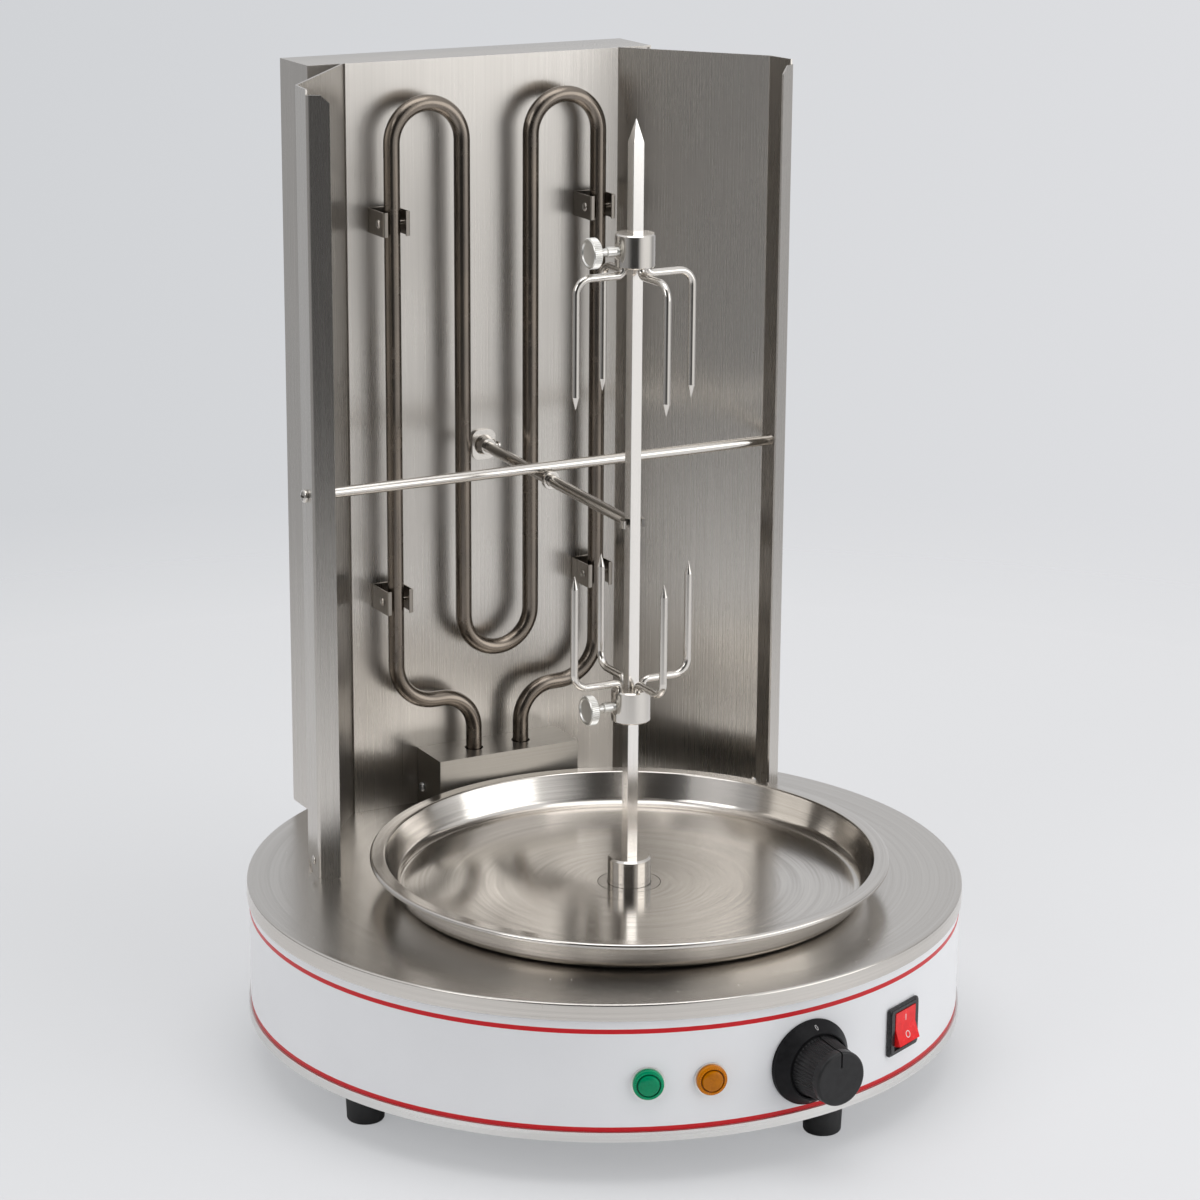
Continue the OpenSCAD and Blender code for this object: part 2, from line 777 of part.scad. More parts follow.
// Back box and reflector
wing_layer = panel_front + sheet + touch_gap;
box_layer = wing_layer + sheet + touch_gap;
box_rear = panel_front + tower_d;
box_flange = 14;
wing_flange = 12;
tower_screw_x = 55;
tower_screw_in = 22;

module at_tower_screws() {
    deck() for (x = [-1, 1]) translate([x * tower_screw_x, box_rear - tower_screw_in, 0]) children();
}

// Folded tray, closed at the back, top and bottom, with inward flanges at its front
module back_box() {
    inner_w = box_w - 2 * sheet;
    window_w = panel_w - 2 * box_flange;
    color(steel) difference() {
        deck() translate([-box_w / 2, wing_layer, 0]) cube([box_w, box_rear - wing_layer, tower_h]);
        deck() translate([-inner_w / 2, box_layer + sheet, sheet])
            cube([inner_w, box_rear - box_layer - 2 * sheet, tower_h - 2 * sheet]);
        deck() translate([-window_w / 2, wing_layer - over, sheet])
            cube([window_w, 2 * sheet + 2 * over, tower_h - 2 * sheet]);
        deck() translate([-box_w / 2 + sheet, wing_layer - over, -over])
            cube([inner_w, box_layer - wing_layer + over, tower_h - sheet + over]);
        at_tower_screws() screw_hole(medium_screw, 3 * sheet);
    }
}

// Flat panel with the two angle tabs that hold the terminal box
module reflector_panel() {
    color(steel) difference() {
        union() {
            deck() translate([-panel_w / 2, panel_front, 0]) cube([panel_w, sheet, tower_h]);
            both_sides() box_tab_right();
        }
        at_box_screws() translate([0, 0, -6]) cylinder(d = small_screw[0] + 2 * touch_gap, h = 8, $fn = 32);
    }
}

function ahead(angle, length) = length * [sin(angle), -cos(angle)];
wing_root = [panel_w / 2 + 3 * touch_gap, wing_layer];
wing_fold = wing_root + ahead(wing_angle, wing_len);
strip_end = wing_fold + ahead(strip_angle, strip_w);
lip_end = strip_end + ahead(-lip_angle, lip_w);
cross_back = wing_fold[1] - cross_inset;

// Right hand wing: flange behind the panel, slanted face, front strip and inward lip
module wing() {
    rear_cut = 8;
    difference() {
        linear_extrude(tower_h) polygon(sheet_outline(
            [wing_root - [wing_flange, 0], wing_root, wing_fold, strip_end, lip_end], 1.5, sheet));
        for (cut = [[wing_root[0], panel_front], [wing_root[0] + 3 * sheet, wing_layer]])
            translate([0, cut[1], tower_h - sheet - touch_gap]) cube([cut[0], 4 * sheet, 2 * sheet]);
        translate([lip_end[0] - over, strip_end[1] + 1, 0]) rotate([90, 0, 0]) linear_extrude(2 * lip_w) {
            translate([0, tower_h - lip_drop]) square([2 * lip_w, 2 * lip_drop]);
            polygon([[0, tower_h - lip_drop - lip_chamfer - over], [lip_chamfer + over, tower_h - lip_drop],
                [0, tower_h - lip_drop]]);
            polygon([[0, -over], [lip_chamfer / 2 + over, -over], [0, lip_chamfer / 2]]);
        }
        translate([wing_fold[0] - 4, wing_fold[1] + 2, -over]) rotate([90, 0, 90])
            linear_extrude(12) polygon([[0, 0], [0, rear_cut + over], [-strip_w * 0.6, 0]]);
        translate([wing_fold[0] - 2 * cross_d, cross_back, cross_z]) rotate([0, 90, 0])
            screw_through(4 * cross_d);
        at_wing_rivet() translate([0, 0, -over]) rivet_hole(4 * sheet);
    }
}

module screw_through(length) {
    cylinder(d = medium_screw[0] + 2 * screw_gap, h = length, $fn = 32);
}

rivet_d = 3;
rivet_head = [5.4, 1.1];
rivet_z = 8.5;

// Frame at the strip's inner face, z points outwards through the strip
module at_wing_rivet() {
    middle = (wing_fold + strip_end) / 2 + ahead(strip_angle, 2);
    translate([middle[0], middle[1], rivet_z]) rotate([0, 0, strip_angle]) rotate([0, 90, 0]) children();
}

module right_wing() {
    color(steel) deck() wing();
}

module left_wing() {
    color(steel) deck() mirror([1, 0, 0]) wing();
}

module both_sides() {
    deck() children();
    deck() mirror([1, 0, 0]) children();
}

module rivet_hole(length) {
    cylinder(d = rivet_d + 2 * screw_gap, h = length, $fn = 32);
}

// Angle tab on the plate, inside the right hand wing's front strip
module wing_tab() {
    tab_w = 11;
    tab_h = 13;
    tab_d = 9;
    at_wing_rivet() translate([rivet_z - tab_h, -tab_w / 2, -touch_gap - sheet]) {
        cube([tab_h, tab_w, sheet]);
        translate([tab_h - sheet, 0, -tab_d]) cube([sheet + over / 4, tab_w, tab_d + sheet]);
    }
}

// Rivet with a domed head at z = 0 and its shank below
module rivet(length) {
    rotate_extrude() {
        translate([0, -length]) square([rivet_d / 2, length + rivet_head[1] / 2]);
        intersection() {
            square([rivet_head[0] / 2, rivet_head[1]]);
            translate([0, -rivet_head[0] * 0.5]) circle(r = rivet_head[0] * 0.5 + rivet_head[1]);
        }
    }
}

module wing_rivets() {
    color(bright_steel) both_sides() at_wing_rivet()
        translate([0, 0, sheet + touch_gap]) rivet(3 * sheet);
}

module tower_screws() {
    color(zinc) at_tower_screws() {
        translate([0, 0, -sheet - touch_gap]) mirror([0, 0, 1]) screw(medium_screw, 2 * sheet + 5);
        translate([0, 0, sheet + touch_gap]) hex_nut(medium_screw[0], nut_flats, nut_h);
    }
}

// Heating element
element_y = panel_front - element_off;
outer_leg = 1.5 * leg_pitch;
inner_leg = 0.5 * leg_pitch;
loop_r = leg_pitch / 2;
top_bend_z = element_top - loop_r;
low_bend_z = element_low + loop_r;
turn_in_z = run_z + outer_bend_r;
turn_down_z = run_z - inner_bend_r;
run_start = outer_leg - outer_bend_r;
run_end = entry_pitch / 2 + inner_bend_r;
tube_end = terminal_h - 14;

// One half of the tube, from the middle of the lower bend to its end in the terminal box
module element_half() {
    bent_rod([0, element_y, low_bend_z], loop_r, 270, 360, element_d);
    upright(inner_leg, low_bend_z, top_bend_z);
    bent_rod([leg_pitch, element_y, top_bend_z], loop_r, 0, 180, element_d);
    upright(outer_leg, turn_in_z, top_bend_z);
    bent_rod([run_start, element_y, turn_in_z], outer_bend_r, 270, 360, element_d);
    translate([run_end, element_y, run_z]) rotate([0, 90, 0])
        cylinder(d = element_d, h = run_start - run_end, $fn = 32);
    bent_rod([run_end, element_y, turn_down_z], inner_bend_r, 90, 180, element_d);
    upright(entry_pitch / 2, tube_end, turn_down_z);
}

module upright(x, from, to) {
    translate([x, element_y, from]) cylinder(d = element_d, h = to - from, $fn = 32);
}

module heating_element() {
    color(bronze) both_sides() element_half();
}

pin_len = 7;
// Ceramic end bushes with the element's steel connection pins
module element_pins() {
    color(ceramic) both_sides() translate([entry_pitch / 2, element_y, 0]) {
        translate([0, 0, tube_end - 3 - touch_gap]) cylinder(d = element_d - 1, h = 3, $fn = 32);
        translate([0, 0, tube_end - 3 - pin_len]) cylinder(d = 3, h = pin_len, $fn = 32);
    }
}

// Element clips
module element_clip(x, z) {
    half = clip_w / 2;
    path = [
        [-half + clip_lip, -clip_reach], [-half, -clip_reach], [-half, -touch_gap],
        [half, -touch_gap], [half, -clip_reach], [half - clip_lip, -clip_reach]
    ];
    color(steel) difference() {
        deck() translate([x, panel_front, z - clip_h / 2]) linear_extrude(clip_h)
            polygon(sheet_outline(reversed(path), 1.2, 0.8));
        at_clip_rivets(x, z) translate([0, 0, -clip_w])
            cylinder(d = rivet_d + 2 * touch_gap, h = 2 * clip_w, $fn = 32);
    }
}

// Frames at the two cheeks of a clip, z points outwards
module at_clip_rivets(x, z) {
    for (s = [-1, 1]) deck() translate([x + s * clip_w / 2, element_y, z]) rotate([0, s * 90, 0]) children();
}

clip_spots = [
    [-outer_leg, clip_high_z], [outer_leg, clip_high_z],
    [-outer_leg, clip_low_z], [outer_leg, clip_low_z]
];

// Rivets that hold the tube between the cheeks of each clip
module clip_rivets() {
    color(bright_steel) for (spot = clip_spots) at_clip_rivets(spot[0], spot[1])
        translate([0, 0, touch_gap]) rivet(clip_w / 2 - element_d / 2);
}

// Terminal box, open towards the reflector and the plate
entry_gap = 0.9;
terminal_front = panel_front - terminal_d;

module terminal_box() {
    inner_w = terminal_w - 2 * sheet;
    color(steel) difference() {
        deck() translate([-terminal_w / 2, terminal_front, 0])
            cube([terminal_w, terminal_d - touch_gap, terminal_h]);
        deck() translate([-inner_w / 2, terminal_front + sheet, -over])
            cube([inner_w, terminal_d, terminal_h - sheet + over]);
        both_sides() translate([entry_pitch / 2, element_y, terminal_h - 2 * sheet])
            cylinder(d = element_d + 2 * entry_gap, h = 3 * sheet, $fn = 48);
        at_box_screws() translate([0, 0, -2 * sheet])
            cylinder(d = small_screw[0] + 2 * touch_gap, h = 4 * sheet, $fn = 32);
    }
}

box_screw_in = 8;
box_screw_z = 13;

// Frames on the box's two side walls near the reflector, z points outwards
module at_box_screws() {
    for (s = [-1, 1]) deck() translate([s * terminal_w / 2, panel_front - box_screw_in, box_screw_z])
        rotate([0, s * 90, 0]) children();
}

module terminal_box_screws() {
    color(zinc) at_box_screws() translate([0, 0, touch_gap]) screw(small_screw, 5);
}

// Angle tab that is welded to the panel inside the terminal box's right hand wall
module box_tab_right() {
    tab_t = 1.5;
    tab_reach = 14;
    tab_h = 12;
    tab_foot = 9;
    wall = terminal_w / 2 - sheet - touch_gap;
    translate([wall - tab_t, panel_front - tab_reach, box_screw_z - tab_h / 2]) {
        cube([tab_t, tab_reach + sheet / 2, tab_h]);
        translate([-tab_foot, tab_reach - tab_t, 0]) cube([tab_foot + tab_t, tab_t + sheet / 2, tab_h]);
    }
}

// Ceramic connector between the element's pins
module terminal_block() {
    block = [entry_pitch - element_d - 2, 16, 12];
    color(ceramic) difference() {
        deck() translate([-block[0] / 2, element_y - block[1] / 2, touch_gap]) cube(block);
        deck() for (x = [-1, 1]) translate([x * block[0] / 4, element_y, block[2] / 2])
            cylinder(d = 4.5, h = block[2], $fn = 32);
    }
}

grommet_d = 14;
module at_grommet() {
    deck() translate([-terminal_w / 4 - 8, element_y - 2, 0]) children();
}

// Rubber grommet where the leads pass through the plate
module wire_grommet() {
    color(rubber) at_grommet() rotate_extrude() difference() {
        union() {
            translate([0, -sheet - 1.5]) square([grommet_d / 2 - touch_gap, sheet + 3]);
            translate([0, touch_gap]) square([grommet_d / 2 + 2, 1.5]);
            translate([0, -sheet - touch_gap - 1.5]) square([grommet_d / 2 + 2, 1.5]);
        }
        translate([0, -10]) square([grommet_d / 2 - 2, 20]);
    }
}

// Cross rod and guide arm
function strip_x(y) = wing_fold[0] + (wing_fold[1] - y) * tan(strip_angle);
cross_half = strip_x(cross_back + cross_d / 2) - touch_gap;
arm_cross_z = cross_z - (cross_d + arm_d) / 2 - slide_gap;
function arm_z(y) = arm_cross_z + (y - cross_back) * tan(arm_slope);
function arm_x(y) = -arm_offset * (y - spit_y) / (panel_front - spit_y);
function arm_point(y) = [arm_x(y), y, arm_z(y)];
guide_t = 1.8;
guide_h = 4.5;

module cross_rod() {
    color(bright_steel) difference() {
        deck() rod([-cross_half, cross_back, cross_z], [cross_half, cross_back, cross_z], cross_d);
        both_sides() translate([cross_half - 12, cross_back, cross_z]) rotate([0, 90, 0])
            cylinder(d = medium_screw[0] + 2 * touch_gap, h = 14, $fn = 32);
    }
}

module cross_rod_screws() {
    head_x = strip_x(cross_back - medium_screw[1] / 2) + sheet / cos(strip_angle) + touch_gap;
    color(bright_steel) both_sides() translate([head_x, cross_back, cross_z]) rotate([0, 90, 0])
        screw(medium_screw, 11);
}

// Sloping rod that ends in an open ring around the spit
module guide_arm() {
    ring_y = spit_y + guide_r + guide_t / 2;
    color(bright_steel) deck() union() {
        difference() {
            rod(arm_point(panel_front - escutcheon_t - touch_gap), arm_point(ring_y), arm_d);
            translate([0, spit_y, arm_z(ring_y) - arm_d]) cylinder(r = guide_r + guide_t / 4, h = 2 * arm_d);
        }
        translate([0, spit_y, arm_z(ring_y) - guide_h / 2]) rotate([0, 0, -20])
            rotate_extrude(angle = 220) translate([guide_r, 0]) square([guide_t, guide_h]);
    }
}

escutcheon_t = 2;
module arm_escutcheon() {
    w = 16;
    h = 19;
    flare = 7;
    at = arm_point(panel_front);
    color(bright_steel) deck() difference() {
        union() {
            translate([at[0], panel_front - touch_gap, at[2]]) rotate([90, 0, 0])
                linear_extrude(escutcheon_t - touch_gap) rounded_rect(w, h, 5);
            translate([at[0], panel_front - escutcheon_t + 0.3, at[2]]) rotate([90, 0, 0])
                cylinder(d1 = 13, d2 = arm_d + 3, h = flare, $fn = 48);
        }
        rod(arm_point(panel_front + over), arm_point(panel_front - 3 * flare), arm_d + 2 * touch_gap);
        at_set_screw() translate([0, 0, -6]) cylinder(d = small_screw[0] + 2 * touch_gap, h = 12, $fn = 32);
    }
}

// Frame beside the arm, z points to the right
module at_set_screw() {
    at = arm_point(panel_front - 5.5);
    translate([at[0] + arm_d / 2, at[1], at[2]]) rotate([0, 90, 0]) children();
}

module arm_set_screw() {
    color(bright_steel) deck() at_set_screw() translate([0, 0, 4]) screw([3, 4.6, 1.8], 3.7);
}

// Stop ring on the arm, just in front of the cross rod
module arm_ferrule() {
    front = cross_back - cross_d / 2 - 0.4;
    color(bright_steel) deck() difference() {
        rod(arm_point(front), arm_point(front - 3.2), arm_d + 4);
        rod(arm_point(front + over), arm_point(front - 4.4), arm_d + 2 * touch_gap);
    }
}

// Thermostat
dial_hub_d = 20;
dial_rim = 1.6;
dial_top_d = knob_d + 1.6;
knob_foot = dial_h - 3.5;
thermostat_shaft_d = 6;

// Conical dial whose back follows the round band
module thermostat_dial() {
    depth = 4;
    color(black_plastic) difference() {
        on_band(dial_angle, -control_z) rotate_extrude() polygon([
            [0, -depth], [dial_d / 2, -depth], [dial_d / 2, dial_rim], [dial_d / 2 - 0.8, dial_rim + 0.8],
            [dial_top_d / 2, dial_h], [dial_top_d / 2 - 0.8, dial_h], [dial_top_d / 2 - 0.8, knob_foot - 0.6],
            [0, knob_foot - 0.6]
        ]);
        deck() translate([0, 0, -housing_h]) cylinder(r = base_r + touch_gap, h = housing_h, $fn = 720);
        on_band(dial_angle, -control_z) translate([0, 0, -depth - over])
            cylinder(d = thermostat_bush_d + 2 * touch_gap, h = knob_h, $fn = 48);
    }
}

// Fluted knob that tapers to its front face, with a groove as pointer
module thermostat_knob() {
    round_r = 1.6;
    skirt = 2;
    slope = (knob_d - knob_face_d) / 2 / (knob_h - knob_foot - skirt);
    color(black_plastic) on_band(dial_angle, -control_z) difference() {
        rotate_extrude() polygon([
            [0, knob_foot], [knob_d / 2 - 0.3, knob_foot], [knob_d / 2 - 0.3, knob_foot + skirt],
            [knob_d / 2 - 1.2, knob_foot + skirt], [knob_face_d / 2, knob_h - round_r],
            [knob_face_d / 2 - 0.5, knob_h - 0.5], [knob_face_d / 2 - round_r, knob_h], [0, knob_h]
        ]);
        for (i = [0 : knob_flutes - 1]) rotate([0, 0, i * 360 / knob_flutes])
            translate([knob_d / 2 - 0.9, 0, knob_foot + skirt + 0.8])
                rotate([0, -atan(slope), 0]) cylinder(d = 1.1, h = knob_h - knob_foot - 7.4, $fn = 6);
        translate([-0.5, knob_face_d / 4, knob_foot + skirt]) cube([1, knob_d, knob_h]);
        translate([0, 0, knob_foot - over])
            cylinder(d = thermostat_shaft_d + 2 * touch_gap, h = knob_bore + over, $fn = 32);
    }
}

thermostat_bush_d = 9;
thermostat_size = [40, 36, 30];
thermostat_shaft_in = 12;
knob_bore = 14;

// Flat connector tag of width w on the face z = 0, pointing down
tag_t = 0.8;
tag_out = 8;
module tag(w) {
    translate([-w / 2, -tag_t / 2, -tag_out]) cube([w, tag_t, tag_out + over]);
}

module thermostat_shaft() {
    color(brass) on_band(dial_angle, -control_z) translate([0, 0, -thermostat_shaft_in])
        cylinder(d = thermostat_shaft_d, h = thermostat_shaft_in + knob_foot + knob_bore - over, $fn = 32);
}

// Thermostat body with its threaded bush through the band and its row of tags
module thermostat_body() {
    half = thermostat_size[0] / 2;
    back = base_r - sqrt(pow(base_r - sheet, 2) - half * half) + touch_gap + thermostat_size[2];
    bush = back - thermostat_size[2] + over;
    color(grey_plastic) on_band(dial_angle, -control_z) difference() {
        union() {
            translate([0, 0, -back]) linear_extrude(thermostat_size[2])
                rounded_rect(thermostat_size[0], thermostat_size[1], 3);
            translate([0, 0, -bush]) cylinder(d = thermostat_bush_d, h = bush + knob_foot - 0.4, $fn = 48);
            for (x = [-12 : 8 : 12]) translate([x, 0, -back]) tag(6);
        }
        translate([0, 0, -thermostat_shaft_in - 2])
            cylinder(d = thermostat_shaft_d + 2 * turn_gap, h = back, $fn = 32);
    }
}

// Indicator lamps
ring_t = 1;
lamp_depth = 24;
lamp_nut_h = 3.5;

module lens(angle) {
    groove_r = lens_d / 2 - 2;
    on_band(angle, -control_z) rotate_extrude($fn = 64) polygon([
        [0, ring_t + touch_gap], [lens_d / 2, ring_t + touch_gap], [lens_d / 2, 3], [lens_d / 2 - 0.8, 3.8],
        [groove_r, 3.8], [groove_r, 2.8], [groove_r - 0.7, 2.8], [groove_r - 0.7, 4.6],
        [groove_r - 1.4, 5.2], [0, 5.2]
    ]);
}

// Lamp body: ring in front of the band, threaded barrel and two tags behind
module lamp_body(angle) {
    ring_back = touch_gap;
    on_band(angle, -control_z) {
        translate([0, 0, ring_back]) cylinder(d = lens_d + 2, h = ring_t - touch_gap + 0.05, $fn = 64);
        translate([0, 0, -lamp_depth]) cylinder(d = barrel_d, h = lamp_depth + ring_t / 2, $fn = 48);
        for (x = [-3.5, 3.5]) translate([x, 0, -lamp_depth]) tag(3);
    }
}

module green_lens() {
    color(signal_green) lens(green_angle);
}

module green_lamp_body() {
    color(grey_plastic) lamp_body(green_angle);
}

module amber_lens() {
    color(signal_amber) lens(amber_angle);
}

module amber_lamp_body() {
    color(grey_plastic) lamp_body(amber_angle);
}

module lamp_nuts() {
    back = sheet + 0.6;
    color(grey_plastic) for (a = [green_angle, amber_angle]) on_band(a, -control_z)
        translate([0, 0, -back - lamp_nut_h]) hex_nut(barrel_d, barrel_d + 4, lamp_nut_h);
}

// Rocker switch
frame_t = 2.6;
switch_body_w = 25;
switch_body_h = 26;
switch_depth = 24;
rocker_pivot = -4;
rocker_peak = 3;
opening_gap = 0.4;
opening_half = rocker_h / 2 + 1.7;

module switch_housing() {
    chamfer = 1.2;
    cavity = 10;
    color(black_plastic) difference() {
        on_band(switch_angle, -control_z) {
            switch_frame(0.05, frame_t - chamfer, 0);
            switch_frame(frame_t - chamfer - 0.01, frame_t - chamfer / 2, chamfer / 3);
            switch_frame(frame_t - chamfer / 2 - 0.01, frame_t, chamfer);
            translate([0, 0, -switch_depth]) linear_extrude(switch_depth + 1)
                square([switch_body_w, switch_body_h], center = true);
            for (y = [-7, 0, 7]) translate([0, y, -switch_depth]) tag(6);
        }
        on_band(switch_angle, -control_z) translate([0, 0, -cavity]) linear_extrude(cavity + frame_t + over)
            square([rocker_w + 2 * opening_gap, 2 * opening_half], center = true);
        on_band(switch_angle, -control_z) translate([0, 0, rocker_pivot]) rotate([0, 90, 0])
            cylinder(d = pivot_d + 2 * turn_gap, h = switch_body_w - 1, center = true, $fn = 32);
    }
}

module switch_frame(from, to, inset) {
    translate([0, 0, from]) linear_extrude(to - from)
        rounded_rect(switch_w - 2 * inset, switch_h - 2 * inset, 2);
}

pivot_d = 3;

// Rocker with a shallow V face, drawn tipped so that its upper half lies flat
module rocker() {
    half = rocker_h / 2;
    rise = half * tan(rocker_swing / 2);
    skirt = rocker_pivot - 1.5;
    color(signal_red) on_band(switch_angle, -control_z) translate([0, 0, rocker_pivot])
        rotate([-rocker_swing / 2, 0, 0]) union() {
            rotate([90, 0, 90]) linear_extrude(rocker_w, center = true) polygon([
                [-half, skirt - rocker_pivot], [half, skirt - rocker_pivot],
                [half, rocker_peak - rocker_pivot + rise], [0, rocker_peak - rocker_pivot],
                [-half, rocker_peak - rocker_pivot + rise]
            ]);
            rotate([0, 90, 0]) cylinder(d = pivot_d, h = switch_body_w - 2, center = true, $fn = 32);
        }
}

// Cord inlet at the rear
gland_rim = 6;
gland_in = 10;
gland_hex_t = 5;
gland_cone = 3.2;

module cable_gland() {
    hex = gland_thread + gland_rim;
    color(black_plastic) on_band(180, -gland_z) difference() {
        union() {
            translate([0, 0, -gland_in]) cylinder(d = gland_thread, h = gland_in + 2, $fn = 48);
            translate([0, 0, touch_gap]) cylinder(d = hex / cos(30), h = gland_hex_t, $fn = 6);
            translate([0, 0, gland_hex_t]) cylinder(d = hex - 2, h = gland_out - gland_hex_t - 3, $fn = 48);
            translate([0, 0, gland_out - gland_cone])
                cylinder(d1 = hex - 2, d2 = hex - 7, h = gland_cone, $fn = 48);
        }
        translate([0, 0, -gland_in - over])
            cylinder(d = gland_bore, h = gland_out + gland_in + 2 * over, $fn = 48);
    }
}

module gland_nut() {
    color(black_plastic) on_band(180, -gland_z) translate([0, 0, -sheet - 1 - gland_hex_t])
        hex_nut(gland_thread, gland_thread + gland_rim, gland_hex_t);
}

base_band();
top_plate();
bottom_plate();
base_screws();
foot(0);  // foot_1
foot(1);  // foot_2
foot(2);  // foot_3
foot(3);  // foot_4
foot_screws();
gearmotor();
motor_bracket();
motor_screws();
bracket_nuts();
spindle_bearing();
bearing_screws();
drive_shaft();
spit_socket();
shaft_pin();
spit();
upper_fork();
lower_fork();
upper_thumb_screw();
lower_thumb_screw();
drip_pan();
back_box();
reflector_panel();
left_wing();
right_wing();
wing_rivets();
tower_screws();
heating_element();
element_pins();
element_clip(clip_spots[0][0], clip_spots[0][1]);  // element_clip_1
element_clip(clip_spots[1][0], clip_spots[1][1]);  // element_clip_2
element_clip(clip_spots[2][0], clip_spots[2][1]);  // element_clip_3
element_clip(clip_spots[3][0], clip_spots[3][1]);  // element_clip_4
clip_rivets();
terminal_box();
terminal_box_screws();
terminal_block();
wire_grommet();
cross_rod();
cross_rod_screws();
guide_arm();
arm_escutcheon();
arm_set_screw();
arm_ferrule();
thermostat_dial();
thermostat_knob();
thermostat_shaft();
thermostat_body();
green_lens();
green_lamp_body();
amber_lens();
amber_lamp_body();
lamp_nuts();
switch_housing();
rocker();
cable_gland();
gland_nut();
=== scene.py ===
"""Dresses the upright rotisserie grill: a finish for every node, and finer pieces where they show.

Shapes are in millimetres until they become objects. Objects and shaders are in metres.
"""
import logging
import math
from dataclasses import dataclass
from enum import Enum
from typing import Callable, Sequence

import bmesh
import bpy
from mathutils import Matrix, Vector


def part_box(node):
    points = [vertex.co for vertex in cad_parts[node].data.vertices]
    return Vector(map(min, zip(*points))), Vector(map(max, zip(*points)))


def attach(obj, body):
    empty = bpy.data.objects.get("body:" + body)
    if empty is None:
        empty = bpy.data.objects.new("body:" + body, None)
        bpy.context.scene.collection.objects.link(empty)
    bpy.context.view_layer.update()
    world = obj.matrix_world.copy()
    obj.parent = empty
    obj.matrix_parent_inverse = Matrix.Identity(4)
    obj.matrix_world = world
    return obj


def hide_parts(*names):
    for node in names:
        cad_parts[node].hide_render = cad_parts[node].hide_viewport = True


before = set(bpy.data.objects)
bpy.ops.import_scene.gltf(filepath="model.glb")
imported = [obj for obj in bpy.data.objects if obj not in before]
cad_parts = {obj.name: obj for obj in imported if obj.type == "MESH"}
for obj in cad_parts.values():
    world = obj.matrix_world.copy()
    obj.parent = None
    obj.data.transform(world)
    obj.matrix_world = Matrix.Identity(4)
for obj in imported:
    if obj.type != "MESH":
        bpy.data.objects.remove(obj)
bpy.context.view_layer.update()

MM = 0.001
UP = Vector((0, 0, 1))
LOG = logging.getLogger("grill")

Point = tuple[float, float]
Triple = tuple[float, float, float]
Mesh, Piece = bmesh.types.BMesh, bpy.types.Object
Node, Socket, NodeTree = bpy.types.Node, bpy.types.NodeSocket, bpy.types.NodeTree


class Body(Enum):
    """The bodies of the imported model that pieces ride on."""

    HOUSING = "housing"
    SPINDLE = "spindle"
    SPIT = "spit"
    UPPER_THUMB = "upper_thumb_screw"
    LOWER_THUMB = "lower_thumb_screw"
    PAN = "drip_pan"
    KNOB = "thermostat_knob"
    ROCKER = "rocker"


class Grain(Enum):
    """Directions in which a steel surface was brushed."""

    UPRIGHT = "upright"
    TURNED = "turned"
    LEVEL = "level"
    NONE = "none"


def middle(node: str) -> Vector:
    """Middle of a CAD node's box at rest, in millimetres."""
    low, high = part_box(node)
    return (low + high) / 2 / MM


def metres(place: Vector) -> Triple:
    """A place in millimetres as a tuple in metres."""
    return tuple(value * MM for value in place)


BAND_LOW, BAND_HIGH = (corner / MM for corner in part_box("base_band"))
BASE_R = (BAND_HIGH.x - BAND_LOW.x) / 2
DECK = Vector((*middle("base_band").xy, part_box("back_box")[0].z / MM))
SPINDLE = Vector((*middle("spit").xy, DECK.z))
CONTROL_HEIGHT = -47.5


def framed(origin: Vector, x: Vector, y: Vector, z: Vector) -> Matrix:
    """Matrix of a frame.

    Args:
        origin: Its place.
        x: Its first axis.
        y: Its second axis.
        z: Its third axis.

    Returns:
        The 4x4 matrix.
    """
    turned = Matrix((x, y, z)).transposed().to_4x4()
    turned.translation = origin
    return turned


def on_band(angle: float, height: float = CONTROL_HEIGHT) -> Matrix:
    """Frame on the band: X along it, Y up, Z outwards.

    Args:
        angle: Direction from the front towards the right, in degrees.
        height: Height above the top plate.

    Returns:
        The frame's matrix.
    """
    a = math.radians(angle)
    along, out = Vector((math.cos(a), math.sin(a), 0)), Vector((math.sin(a), -math.cos(a), 0))
    return framed(DECK + out * BASE_R + UP * height, along, UP, out)


# Shader graphs


